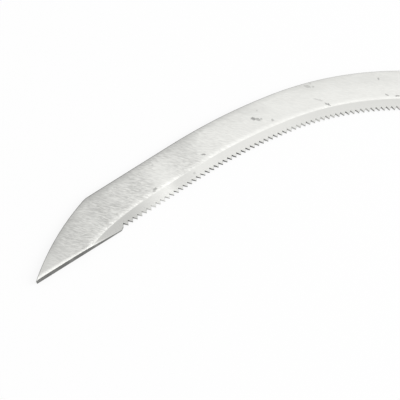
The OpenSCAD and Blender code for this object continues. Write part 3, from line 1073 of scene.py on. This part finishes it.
@dataclass
class Blade:
    """The toothed blade, one bar of steel ground on its upper face.

    A station is a distance along the spine from the heel, and an offset one from the spine to the teeth.
    """

    # Outline
    width: float = 16.6
    thick: float = LAYOUT.blade_thick
    pitch: float = 2.0
    depth: float = 1.4
    share: float = 0.6
    plain: float = 56.0
    tip_reach: float = 30.6
    tip_drop: float = 17.1
    clip_bow: float = 1.8
    clip_steps: int = 30
    clip_lap: float = 0.4
    tip_step: float = 1.1
    tip_edge_end: float = 4.0
    # Bevel
    bevel: float = 3.25
    edge_thick: float = 0.8
    bevel_start: float = 52.0
    drift_len: float = 16.5
    drift_end: float = 4.3
    drift_r: float = 133.0
    runout_r: float = 33.0
    tip_runout_r: float = 53.0
    halvings: int = 24
    hollow: float = 0.05
    roll_start: float = -2.0
    roll_break: float = -0.65
    roll_end: float = -0.2
    roll_slope: float = 0.155
    # Section
    spine_round: float = 0.12
    spine_corner: float = 0.3
    tip_round: float = 0.06
    tooth_round: float = 0.045
    round_share: float = 0.2
    back_lift: float = 0.04
    back_steps: int = 6
    foot: float = 0.08
    foot_share: float = 0.1
    crown: float = 0.1
    thinnest: float = 0.3
    # Worn and leaning edge of the tip
    worn_edge: float = 1.5
    worn_start: float = 0.25
    worn_blend: float = 0.3
    worn_slope: float = 0.15
    worn_before: float = 2.0
    worn_contrast: float = 1.5
    worn_growth: float = 4.0
    tip_lap: float = 0.2
    tip_lean: float = 0.32
    lean_growth: float = 1.6
    lean_share: float = 0.25
    # Points of the mesh, and where its finish changes
    spine_rows: tuple[float, ...] = (0.3, 0.8, 1.5, 2.5)
    ridge_rows: tuple[float, ...] = (2.0, 1.6, 1.2, 0.85, 0.65, 0.42, 0.2, 0.0)
    ridge_clear: float = 2.1
    ridge_room: Point2 = (0.05, 0.04)
    bevel_row: float = 0.4
    face_steps: int = 5
    full_face: float = 7.0
    full_bevel: float = 1.2
    heel_stations: tuple[float, ...] = (0.0, 0.25)
    clip_stations: tuple[float, ...] = (-0.8, -0.4, 0.0, 0.4)
    point_stations: tuple[float, ...] = (-0.8, -0.3, 0.0)
    point_trim: float = 0.15
    tooth_gap: float = 0.7
    plain_gap: float = 1.3
    plain_from: float = 3.0
    ridge_blend: float = 0.1
    tooth_rim: float = 0.5
    path: SpinePath = field(init=False)
    total: float = field(init=False)

    def __post_init__(self) -> None:
        """Lay the spine out from the heel."""
        stretches = (Stretch(38, 0), Stretch(58, 92), Stretch(170, 122), Stretch(45, 218), Stretch(38, 0))
        self.path = SpinePath(stretches, LAYOUT.on_palm(LAYOUT.heel_gap, -self.width / 2), LAYOUT.heading)
        self.total = sum(part.length for part in stretches)

    def lower_corners(self) -> list[Point2]:
        """List the corners of the toothed edge, from the heel to the point.

        Returns:
            Station and offset of each corner.
        """
        width, half = self.width, self.depth / 2
        end = sum(part.length * part.share(width) for part in self.path.stretches)
        end -= self.tip_edge_end + self.tip_step + half
        count = int((end - self.plain) // self.pitch)
        corners = [(0.0, width), (self.path.station_of_edge(end - count * self.pitch, width), width)]
        for tooth in reversed(range(count)):
            root = end - tooth * self.pitch
            point = root - self.pitch * self.share
            corners.append((self.path.station_of_edge(point, width), width + half))
            corners.append((self.path.station_of_edge(root, width), width - half))
        corners.append((self.total - self.tip_edge_end - self.tip_step, width + self.tip_step / 3))
        corners.append((self.total - self.tip_edge_end, width + self.tip_step))
        corners.append((self.total + self.tip_reach, self.tip_drop))
        return corners

    def clip_corners(self) -> list[Point2]:
        """List the corners of the clipped edge, which bows out a little.

        Returns:
            Station and offset of each corner.
        """
        chord = math.hypot(self.tip_reach, self.tip_drop)
        corners = [(0.0, 0.0), (self.total - self.clip_lap, 0.0)]
        for number in range(1, self.clip_steps + 1):
            share = number / self.clip_steps
            bow = 4 * self.clip_bow * share * (1 - share)
            station = self.total + self.tip_reach * share + self.tip_drop / chord * bow
            corners.append((station, self.tip_drop * share - self.tip_reach / chord * bow))
        return corners

    def ridge_depth(self, station: float, off: float) -> float:
        """Measure how far a point lies inside the ground bevel.

        Args:
            station: Station of the point.
            off: Its offset.

        Returns:
            Distance from the ridge, less than 0 outside the bevel.
        """
        inside = off - (self.width - self.bevel)
        leaves = self.total - self.drift_len - self.drift_end
        if station < self.bevel_start:
            return self.runout_r - math.hypot(station - self.bevel_start, inside - self.runout_r)
        if station <= leaves:
            return inside
        turn = self.drift_len / self.drift_r
        drift = self.drift_r * math.sin(turn)
        if station <= leaves + drift:
            return self.drift_r - math.hypot(station - leaves, inside - self.drift_r)
        run = station - leaves - drift + self.tip_runout_r * math.sin(turn)
        drop = self.drift_r * (1 - math.cos(turn)) + self.tip_runout_r * math.cos(turn)
        return self.tip_runout_r - math.hypot(run, inside - drop)

    def ridge_line(self, station: float, low: float, high: float) -> float:
        """Find the ridge at a station by halving.

        Args:
            station: The station.
            low: Least offset.
            high: Greatest offset.

        Returns:
            The ridge's offset, kept between the two.
        """
        if self.ridge_depth(station, high) <= 0:
            return high
        for _ in range(self.halvings):
            mid = (low + high) / 2
            low, high = (low, mid) if self.ridge_depth(station, mid) > 0 else (mid, high)
        return (low + high) / 2

    def ground_away(self, inside: float) -> float:
        """Measure how much is ground off, first in a gentle roll toward the ridge and then in the bevel.

        Args:
            inside: Distance beyond the ridge, less than 0 before it.

        Returns:
            The depth below the face.
        """
        gentle, knee = self.roll_slope, self.roll_end - self.roll_break
        rolled = gentle * (self.roll_break - self.roll_start) / 2
        left = self.thick - self.edge_thick - rolled - gentle * knee / 2
        steep = left / (self.bevel - self.roll_end + knee / 2)
        if inside <= self.roll_start:
            return 0.0
        if inside <= self.roll_break:
            return gentle * (inside - self.roll_start) ** 2 / (2 * (self.roll_break - self.roll_start))
        if inside <= self.roll_end:
            part = inside - self.roll_break
            return rolled + gentle * part + (steep - gentle) * part**2 / (2 * knee)
        past = inside - self.roll_end
        share = min(1.0, past / self.bevel)
        return rolled + (gentle + steep) * knee / 2 + steep * past + self.hollow * 4 * share * (1 - share)

    def tip_share(self, station: float) -> float:
        """Tell how far a station is from the run-out of the bevel, 0, toward the point, 1."""
        start = self.total - self.worn_before
        return clamped((station - start) / (self.total + self.tip_reach - start))

    def worn_reach(self, station: float) -> float:
        """Width of the worn strip along the edge of the tip."""
        return self.worn_edge * (self.worn_start + (1 - self.worn_start) * self.tip_share(station))

    def worn_share(self, station: float, to_edge: float) -> float:
        """Tell from 0 to 1 how worn a point at a distance from the edge of the tip is."""
        near = clamped(self.worn_contrast * (1 - to_edge / (self.worn_reach(station) + self.tip_lean)))
        return near * min(1.0, self.worn_growth * self.tip_share(station))

    def face_height(self, station: float, off: float, crest: float) -> float:
        """Height of the upper face: a slight crown, a soft ridge, a hollow bevel and a worn edge at the tip.

        Args:
            station: Station of the point.
            off: Its offset.
            crest: Offset of the upper end of the toothed side.

        Returns:
            Height above the ground.
        """
        low_side = 1 - min(1.0, off / (self.width - self.bevel))
        height = self.thick - self.crown * low_side**2 - self.ground_away(self.ridge_depth(station, off))
        out, blend = self.tip_share(station), self.worn_blend
        depth = self.worn_reach(station) - (crest - off)
        if out > 0 and depth > 0:
            fall = depth**2 / (2 * blend) if depth < blend else depth - blend / 2
            height -= min(1.0, self.worn_growth * out) * self.worn_slope * fall
        return max(self.thinnest, height)

    def face_rows(self, begin: float, ridge: float, stop: float) -> list[float]:
        """List where the points of the upper face lie: close at the spine, the ridge and in the bevel.

        Args:
            begin: Offset where the face begins.
            ridge: Offset of the ridge.
            stop: Offset where the face ends.

        Returns:
            The offsets.
        """
        near = min(1.0, (ridge - begin) / self.full_face)
        rows = [begin] + [begin + d * near for d in self.spine_rows]
        rows += spaced(rows[-1], ridge - self.ridge_clear * near, self.face_steps)
        rows += [ridge - d * near for d in self.ridge_rows]
        rows.append(ridge + self.bevel_row * min(1.0, (stop - ridge) / self.full_bevel))
        return rows + spaced(rows[-1], stop, self.face_steps)

    def section(self, station: float, top: float, low: float) -> list[Point2]:
        """Make the section of the blade at one station.

        Args:
            station: The station.
            top: Offset of the upper outline.
            low: Offset of the toothed outline.

        Returns:
            Offset and height of each point, from the spine over the face and back under.
        """
        span, floor = low - top, self.back_lift
        at_tip = station > self.total - self.tip_edge_end - self.tip_lap
        spine_r = min(self.spine_round, span * self.round_share)
        edge_r = min(self.tip_round if at_tip else self.tooth_round, span * self.round_share)
        lean = self.tip_lean * min(1.0, self.lean_growth * self.tip_share(station))
        crest = low - min(lean, span * self.lean_share)
        begin, stop = top + spine_r, crest - edge_r
        above, below = (span * room for room in self.ridge_room)
        ridge = min(self.ridge_line(station, begin + above, stop), stop - below)
        corner, top_z = spine_r * self.spine_corner, self.face_height(station, top, crest)
        flat = [(top, floor + spine_r), (top, top_z - spine_r), (top + corner, top_z - corner)]
        flat += [(off, self.face_height(station, off, crest)) for off in self.face_rows(begin, ridge, stop)]
        flat.append((crest, self.face_height(station, crest, crest) - edge_r))
        flat += [(low, floor + self.foot), (low - min(self.foot, span * self.foot_share), floor)]
        return flat + [(off, floor) for off in spaced(low, begin, self.back_steps)]

    def stations(self, marks: list[float]) -> list[float]:
        """List the stations of the sections.

        Args:
            marks: Stations of the toothed edge's corners.

        Returns:
            Those stations, and even steps between them.
        """
        end = self.total + self.tip_reach - self.point_trim
        out = {*self.heel_stations, *(self.total + step for step in self.clip_stations)}
        out |= {end + step for step in self.point_stations}
        for a, b in zip(marks, marks[1:]):
            gap = self.plain_gap if b - a > self.plain_from else self.tooth_gap
            out |= set(spaced(a, b, max(1, math.ceil((b - a) / gap))))
        return [station for station in sorted(out) if station <= end]

    def place_values(self, station: float, off: float, top: float, low: float) -> dict[str, float]:
        """Tell where a point lies on the blade, for its finish.

        Args:
            station: Station of the point.
            off: Its offset.
            top: Offset of the upper outline there.
            low: Offset of the toothed outline there.

        Returns:
            The number that the mesh holds under each name.
        """
        return {
            "along_blade": station / (self.total + self.tip_reach),
            "from_spine": (off - top) / self.width,
            "in_bevel": clamped(self.ridge_depth(station, off) / self.bevel + self.ridge_blend),
            "worn_edge": self.worn_share(station, low - off),
            "tooth_rim": max(0.0, 1.0 - (low - off) / self.tooth_rim),
        }

    def build(self, finishes: Finishes) -> list[Thing]:
        """Build and dress the blade.

        Args:
            finishes: The materials.

        Returns:
            The one piece.
        """
        lower, upper = self.lower_corners(), self.clip_corners()
        rings: list[Ring] = []
        places: list[dict[str, float]] = []
        for station in self.stations([corner[0] for corner in lower]):
            top, low = along(upper, station), along(lower, station)
            flat = self.section(station, top, low)
            rings.append([(*self.path.at(station, off), z) for off, z in flat])
            places += [self.place_values(station, off, top, low) for off, _ in flat]
        piece = Shell().grow(rings).make("ground_blade", sharp=24)
        for name in places[0]:
            values = piece.data.attributes.new(name, "FLOAT", "POINT").data
            values.foreach_set("value", [place[name] for place in places])
        return [stand_in(piece, "blade", finishes.ground)]


@dataclass(frozen=True)
class BarPlace:
    """Where a section of the bar stands: its middle, its turn about the vertical and its lean."""

    middle: Point3
    turn: float = 0.0
    lean: float = 0.0

    def point(self, across: float, rise: float) -> Point3:
        """Find a point of the section.

        Args:
            across: Distance to its right.
            rise: Distance above its middle.

        Returns:
            The point in the frame of the model.
        """
        x, y, z = self.middle
        x = x - across * math.sin(self.turn) - rise * math.sin(self.lean)
        return x, y - across * math.cos(self.turn), z + rise * math.cos(self.lean)


@dataclass
class Shank:
    """The forged bar between blade and handle: palm, edgewise bend, crank and tang."""

    wide: float = 14.0
    thick: float = 4.0
    palm_reach: float = 29.0
    tang_len: float = 72.0
    tang_w: float = 8.0
    tang_point: float = 5.0
    tang_end: float = 0.5
    tang_thin: float = 0.05
    edge_r: float = 0.8
    edge_share: float = 0.45
    edge_steps: int = 3
    face_steps: int = 9
    side_steps: int = 3
    end_trim: float = 0.35
    trim_from: int = 80
    trim_over: int = 8
    smooth_to: float = 1.0
    dent: float = 0.16
    side_dent: float = 0.8
    sunk: float = 0.4
    swell: float = 5.0
    ripple: float = 2.4
    ripple_share: float = 0.5
    ripple_shift: float = 40.0
    crank_steps: int = 14
    bend_steps: int = 14
    palm_steps: int = 22
    shoulder_rows: tuple[float, ...] = (0.0, 0.3, 1.2, 2.5, 3.8)
    round_rows: tuple[int, ...] = (10, 20, 30, 40, 50, 59, 67, 74, 80, 85, 88)
    blade_clear: float = 0.01

    def outline(self, half_w: float, half_t: float) -> list[Point2]:
        """List a bar's section with rounded corners, from the middle of the right side.

        Args:
            half_w: Half of the width.
            half_t: Half of the thickness.

        Returns:
            The points across and up, 36 in all.
        """
        r = min(self.edge_r, half_w * self.edge_share, half_t * self.edge_share)
        out: list[Point2] = []
        for quarter, (sx, sy) in enumerate(((1, 1), (-1, 1), (-1, -1), (1, -1))):
            x, y = sx * (half_w - r), sy * (half_t - r)
            out += arc((x, y), r, 90 * quarter, 90 * quarter + 90, self.edge_steps)
            steps = self.side_steps if quarter % 2 else self.face_steps
            for share in (1 - 2 * k / steps for k in range(1, steps)):
                out.append((sx * half_w, y * share) if quarter % 2 else (x * share, sy * half_t))
        return out

    def ring(self, place: BarPlace, half_w: float, half_t: float, dent: float) -> Ring:
        """Place a section with hammered faces.

        Args:
            place: Where the section stands.
            half_w: Half of the width.
            half_t: Half of the thickness.
            dent: Depth of the unevenness.

        Returns:
            The ring's points, none of them in the blade.
        """
        ring: Ring = []
        for across, rise in self.outline(half_w, half_t):
            x, y, z = place.point(across, rise)
            push = waver(x, y, z / 2, self.swell) - self.sunk
            push += self.ripple_share * waver(x + self.ripple_shift, y, z, self.ripple)
            rise += dent * push * math.copysign(1, rise) * min(1.0, abs(rise) / half_t)
            across += dent * self.side_dent * push * across / half_w
            x, y, z = place.point(across, rise)
            ring.append((x, y, max(z, LAYOUT.blade_thick + self.blade_clear)))
        return ring

    def tang(self) -> list[Ring]:
        """List the sections of the tang and of the shoulder.

        Returns:
            The rings, from the end in the handle.
        """
        half_w, half_t = self.tang_w / 2, self.thick / 2 - self.tang_thin
        full = self.tang_len - self.tang_point
        out: list[Ring] = []
        for run, part in ((self.tang_len, self.tang_end), (full, 1.0), (0.0, 1.0)):
            out.append(self.ring(BarPlace(LAYOUT.on_axis(run)), half_w * part, half_t, 0))
        for run in self.shoulder_rows:
            trim, dent = self.end_trim if run == 0 else 0.0, self.dent if run > self.smooth_to else 0
            place = BarPlace(LAYOUT.on_axis(-run))
            out.append(self.ring(place, self.wide / 2 - trim, self.thick / 2 - trim, dent))
        return out

    def crank(self) -> list[BarPlace]:
        """List where the sections of the crank stand.

        Returns:
            The places, from the shoulder down to the bend.
        """
        run, low = LAYOUT.crank_len, LAYOUT.blade_thick + self.thick / 2
        rise = LAYOUT.axis_z - low
        radius = (run**2 + rise**2) / (4 * rise)
        leans = [0.0, *spaced(0.0, 2 * math.atan(rise / run), self.crank_steps)]
        out: list[BarPlace] = []
        upper, lower = (LAYOUT.crank_x, LAYOUT.axis_z, -1, leans), (LAYOUT.bend_x, low, 1, leans[-2::-1])
        for x, z, way, half in (upper, lower):
            for lean in half:
                over, drop = way * radius * math.sin(lean), way * radius * (1 - math.cos(lean))
                out.append(BarPlace((x + over, LAYOUT.axis_y, z + drop), lean=lean))
        return out

    def flat(self) -> list[BarPlace]:
        """List where the sections of the edgewise bend and of the palm stand.

        Returns:
            The places, from the crank toward the blade.
        """
        low = LAYOUT.blade_thick + self.thick / 2
        turns = spaced(0.0, LAYOUT.heel_angle, self.bend_steps)
        out = [BarPlace((*LAYOUT.on_bend(turn), low), turn) for turn in turns]
        runs = spaced(0.0, self.palm_reach, self.palm_steps)
        runs += [self.palm_reach + self.wide / 2 * math.sin(math.radians(turn)) for turn in self.round_rows]
        return out + [BarPlace((*LAYOUT.on_palm(run), low), LAYOUT.heel_angle) for run in runs]

    def build(self, finishes: Finishes) -> list[Thing]:
        """Build and dress the shank.

        Args:
            finishes: The materials.

        Returns:
            The one piece.
        """
        half_w, half_t = self.wide / 2, self.thick / 2
        places = self.crank() + self.flat()
        end = len(places) - len(self.round_rows)
        rings = self.tang() + [self.ring(place, half_w, half_t, self.dent) for place in places[:end]]
        for turned, place in zip(self.round_rows, places[end:]):
            trim = self.end_trim * max(0.0, (turned - self.trim_from) / self.trim_over)
            rings.append(self.ring(place, half_w * math.cos(math.radians(turned)), half_t - trim, self.dent))
        piece = Shell().grow(rings).make("forged_shank", sharp=40)
        return [stand_in(piece, "shank", finishes.forged)]


@dataclass
class BladeRivets:
    """Three rivets with hammered domed heads above and flush ends below."""

    count: int = 3
    first_in: float = 7.0
    gap: float = 11.0
    shaft_r: float = 2.5
    head_r: float = 4.5
    head_h: float = 2.5
    sink: float = 1.2
    end_chamfer: Point2 = (0.15, 0.12)
    seat: float = 6.2
    head_sink: float = 0.1
    head_chamfer: Point2 = (0.2, 0.05)
    dome_start: float = 0.1
    dome_steps: int = 9
    middle_r: float = 0.05
    blows: int = 9
    blow_turn: float = 2.4
    rivet_turn: float = 1.7
    first_lean: float = 0.12
    more_lean: float = 0.62
    blow_height: float = 0.975
    blow_spread: float = 0.008
    blow_beat: int = 5
    blow_force: float = 0.8
    turns: int = 40

    @property
    def ball(self) -> float:
        """Radius of the ball that the dome is cut from."""
        return (self.head_r**2 + self.head_h**2) / (2 * self.head_h)

    def profile(self) -> list[Point2]:
        """List the outline of a rivet.

        Returns:
            Radius and height of each point, from the flush end to the top of the dome.
        """
        wide = math.degrees(math.asin(self.head_r / self.ball))
        flush, under = self.shaft_r + self.sink, self.seat - self.head_sink
        (end_in, end_up), (head_in, head_up) = self.end_chamfer, self.head_chamfer
        out = [(self.middle_r, 0.0), (flush - end_in, 0.0), (flush, end_up), (self.shaft_r, self.sink)]
        out += [(self.shaft_r, under), (self.head_r - head_in, under), (self.head_r, self.seat + head_up)]
        dome = arc((0.0, self.seat + self.head_h - self.ball), self.ball, 90 - wide, 90, self.dome_steps)
        return out + dome[1:-1] + [(self.middle_r, self.seat + self.head_h)]

    def hammered(self, point: Point3, number: int) -> Point3:
        """Flatten a point of a dome where a hammer blow landed.

        Args:
            point: The point, from the middle of the rivet.
            number: Number of the rivet.

        Returns:
            The moved point.
        """
        if point[2] < self.seat + self.dome_start:
            return point
        middle = Vector((0, 0, self.seat + self.head_h - self.ball))
        ray = Vector(point) - middle
        for blow in range(self.blows):
            turned = self.blow_turn * blow + self.rivet_turn * number
            lean = self.first_lean + self.more_lean * math.sqrt(blow / self.blows)
            out = math.sin(lean)
            flat = Vector((out * math.cos(turned), out * math.sin(turned), math.cos(lean)))
            height = self.blow_height + self.blow_spread * math.sin(blow * self.blow_beat + number)
            ray -= flat * max(0.0, ray.dot(flat) - self.ball * height) * self.blow_force
        return tuple(middle + ray)

    def build(self, finishes: Finishes) -> list[Thing]:
        """Build and dress the rivets.

        Args:
            finishes: The materials.

        Returns:
            The one piece that holds the rivets.
        """
        shell = Shell()
        for number in range(self.count):
            x, y = LAYOUT.on_palm(LAYOUT.heel_gap + self.first_in + number * self.gap)
            rings = [[self.hammered(p, number) for p in ring] for ring in lathe(self.profile(), self.turns)]
            shell.grow([[(px + x, py + y, pz) for px, py, pz in ring] for ring in rings])
        piece = shell.make("domed_rivets", sharp=38)
        return [stand_in(piece, "blade_rivets", finishes.rivet)]


@dataclass
class Ferrule:
    """The rolled steel ferrule with its two nails."""

    outer_r: float = 12.5
    wall: float = 1.2
    length: float = 18.0
    start: float = 2.0
    lip: float = 0.5
    lip_steps: int = 4
    inner_chamfer: Point2 = (0.3, 0.25)
    groove: float = 0.3
    groove_in: float = 2.6
    groove_step: float = 0.16
    groove_steps: int = 4
    dent: float = 0.004
    dent_size: float = 6.0
    turns: int = 96
    nail_head_r: float = 1.8
    nail_head_h: float = 0.6
    nail_r: float = 0.9
    nail_len: float = 7.0
    nail_seat: float = 0.1
    nail_neck: float = 0.5
    nail_out: float = 0.5
    nail_dome: tuple[float, ...] = (0.0, 0.5, 0.9, 1.2, 1.5)
    nail_point: Point2 = (0.1, 1.2)
    nail_turns: int = 24

    def profile(self) -> list[Point2]:
        """List the outline of the wall.

        Returns:
            Radius and distance along the handle of each point.
        """
        edge, inner = self.outer_r - self.lip, self.outer_r - self.wall
        wide, deep = self.inner_chamfer
        out = [(inner, deep), (inner + wide, 0.0)]
        out += arc((edge, self.lip), self.lip, -90, 0, self.lip_steps)
        for at in (self.groove_in, self.length - self.groove_in):
            for k in range(-self.groove_steps, self.groove_steps + 1):
                dip = 0.5 + 0.5 * math.cos(math.pi * k / self.groove_steps)
                out.append((self.outer_r - self.groove * dip, at + self.groove_step * k))
        out += arc((edge, self.length - self.lip), self.lip, 0, 90, self.lip_steps)
        return out + [(inner + wide, self.length), (inner, self.length - deep)]

    def band(self) -> Thing:
        """Build the ferrule, faintly dented.

        Returns:
            The piece.
        """
        start_x, y, z = LAYOUT.on_axis(self.start)
        rings: list[Ring] = []
        for ring in lathe(self.profile(), self.turns):
            dents = [1 - self.dent * max(0.0, waver(*point, self.dent_size)) for point in ring]
            rings.append([(start_x + r, y + p * d, z + q * d) for (p, q, r), d in zip(ring, dents)])
        return Shell().grow(rings, hoop=True).make("rolled_ferrule", sharp=32)

    def nails(self) -> Thing:
        """Build the two nails.

        Returns:
            The piece that holds both.
        """
        seat, neck = self.outer_r - self.nail_seat, self.outer_r - self.nail_neck
        foot = self.outer_r + self.nail_out - self.nail_len
        point_r, point_len = self.nail_point
        profile = [(point_r, foot), (self.nail_r, foot + point_len)]
        profile += [(self.nail_r, neck), (self.nail_head_r, neck)]
        for a in self.nail_dome:
            profile.append((self.nail_head_r * math.cos(a), seat + self.nail_head_h * math.sin(a)))
        x, y, z = LAYOUT.on_axis(self.start + self.length / 2)
        shell = Shell()
        for side in (-1, 1):
            rings = lathe(profile, self.nail_turns)
            shell.grow([[(x + p, y + side * out, z + q) for p, q, out in ring] for ring in rings])
        return shell.make("ferrule_tacks", sharp=40)

    def build(self, finishes: Finishes) -> list[Thing]:
        """Build and dress the ferrule and its nails."""
        band = stand_in(self.band(), "ferrule", finishes.ferrule)
        return [band, stand_in(self.nails(), "ferrule_nails", finishes.rivet)]


@dataclass
class Grip:
    """The turned handle and the washer that the shoulder bears on, whose CAD shapes stay."""

    frame: dict[str, object]
    rounding: float = 0.3
    weld: float = 0.002
    sharp: float = math.radians(35)

    def build(self, finishes: Finishes) -> list[Thing]:
        """Dress the handle and the washer, and round the washer's edges.

        Args:
            finishes: The materials.

        Returns:
            The two pieces.
        """
        washer = dress_node(self.frame, "shoulder_washer", finishes.washer)
        washer.modifiers.new("closed_edges", "WELD").merge_threshold = self.weld * MM
        soft = washer.modifiers.new("worn_edges", "BEVEL")
        soft.width = self.rounding * MM
        soft.segments = 2
        soft.limit_method = "ANGLE"
        soft.angle_limit = self.sharp
        return [dress_node(self.frame, "handle", finishes.wood), washer]


@dataclass
class TangLock:
    """The pin through handle and tang and the washers under its heads, whose CAD shapes stay."""

    frame: dict[str, object]

    def build(self, finishes: Finishes) -> list[Thing]:
        """Dress the pin and its washers."""
        pin = dress_node(self.frame, "tang_pin", finishes.rivet)
        return [pin, dress_node(self.frame, "pin_washers", finishes.washer)]


# Surroundings


def aim(thing: Thing, at: Vector, to: Vector) -> Thing:
    """Add a lamp or camera to the scene, and point it.

    Args:
        thing: The lamp or camera.
        at: Its place in metres.
        to: Point that it looks at, in metres.

    Returns:
        The lamp or camera.
    """
    thing.location = at
    thing.rotation_euler = (to - at).to_track_quat("-Z", "Y").to_euler()
    return link(thing)


@dataclass(frozen=True)
class Lamp:
    """A soft square lamp: its place, the point that it lights and its side in metres, its power in watts."""

    name: str
    at: Point3
    to: Point3
    size: float
    power: float

    def hang(self) -> None:
        """Add the lamp to the scene."""
        data = bpy.data.lights.new(self.name, "AREA")
        data.shape = "SQUARE"
        data.size = self.size
        data.energy = self.power
        aim(bpy.data.objects.new(self.name, data), Vector(self.at), Vector(self.to))


@dataclass(frozen=True)
class Studio:
    """White floor, soft lamps and the camera at the angle of the photograph.

    The camera's place and aim are in millimetres, its clipping and the floor in metres.
    """

    camera_at: Point3 = (-40.32, -100.82, 241.61)
    camera_to: Point3 = (-152.06, -51.88, 2.2)
    lens: float = 67.5
    sensor: float = 36.0
    centre_shift: float = 0.00125
    floor_half: float = 3.0
    floor_paint: Colour = (0.95, 0.95, 0.95)
    floor_glow: float = 0.82
    backdrop: Colour = (0.98, 0.98, 0.98)
    picture_right: Point3 = (0.401, 0.916, 0.0)
    sky_step: Fade = (-0.25, -0.03, 0.62, 1.14)
    sky_left: Fade = (-1.0, -0.25, 0.6, 1.0)
    sky_rise: Fade = (0.0, 0.7, 0.6, 1.0)
    clip: Point2 = (0.01, 20.0)
    lamps: tuple[Lamp, ...] = (
        Lamp("key_lamp", (0.34, 1.28, 0.7), (-0.05, 0.0, 0.0), 0.8, 9.0),
        Lamp("top_lamp", (-0.3, 0.2, 1.2), (-0.15, -0.05, 0.0), 0.25, 0.3),
    )

    def floor(self) -> None:
        """Lay the floor, which shows white to the camera and keeps the shadow."""
        half = self.floor_half
        mesh = bpy.data.meshes.new("floor")
        corners = [(-half, -half, 0), (half, -half, 0), (half, half, 0), (-half, half, 0)]
        mesh.from_pydata(corners, [], [(0, 1, 2, 3)])
        link(bpy.data.objects.new("floor", mesh))
        material = bpy.data.materials.new("floor_white")
        g = Graph(clear_nodes(material))
        rays = g.add("LightPath").outputs
        seen = g.math("ADD", rays["Is Camera Ray"], rays["Is Glossy Ray"])
        seen = g.math("ADD", seen, rays["Is Transmission Ray"], clamp=True)
        paint = g.add("BsdfDiffuse", {"Color": self.floor_paint}).outputs[0]
        glow = g.add("Emission", {"Color": (1.0, 1.0, 1.0), "Strength": 1.0}).outputs[0]
        both = g.add("MixShader", {0: g.times(seen, self.floor_glow), 1: paint, 2: glow}).outputs[0]
        g.add("OutputMaterial", {0: both})
        mesh.materials.append(material)

    def sky(self) -> None:
        """Make the surroundings: brighter overhead and toward the heel, white to the camera."""
        world = bpy.data.worlds.new("studio_sky")
        bpy.context.scene.world = world
        g = Graph(clear_nodes(world))
        way = g.add("TexCoord").outputs["Generated"]
        right = g.vector("DOT_PRODUCT", way, self.picture_right)
        level = g.times(g.fade(right, *self.sky_step), g.fade(right, *self.sky_left))
        level = g.times(level, g.fade(g.axes(way)[2], *self.sky_rise))
        soft = g.add("CombineColor", {0: level, 1: level, 2: level}).outputs[0]
        colour = g.blend(g.add("LightPath").outputs["Is Camera Ray"], soft, self.backdrop)
        back = g.add("Background", {"Color": colour, "Strength": 1.0}).outputs[0]
        g.add("OutputWorld", {0: back})

    def camera(self) -> None:
        """Place the camera."""
        data = bpy.data.cameras.new("photo_camera")
        data.lens = self.lens
        data.sensor_width = self.sensor
        data.shift_x, data.shift_y = -self.centre_shift, self.centre_shift
        data.clip_start, data.clip_end = self.clip
        camera = bpy.data.objects.new("photo_camera", data)
        bpy.context.scene.camera = aim(camera, Vector(self.camera_at) * MM, Vector(self.camera_to) * MM)

    def build(self) -> None:
        """Set up the whole studio."""
        self.floor()
        self.sky()
        for lamp in self.lamps:
            lamp.hang()
        self.camera()
        bpy.context.scene.view_settings.view_transform = "Standard"


def main() -> None:
    """Build the sickle and its surroundings."""
    logging.basicConfig(level=logging.INFO, format="%(message)s")
    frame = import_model()
    Studio().build()
    finishes = Finishes(Effects())
    for part in (Blade(), Shank(), BladeRivets(), Ferrule(), Grip(frame), TangLock(frame)):
        for piece in part.build(finishes):
            LOG.info("%s: %s, %d faces", type(part).__name__, piece.name, len(piece.data.polygons))


if __name__ == "__main__":
    main()
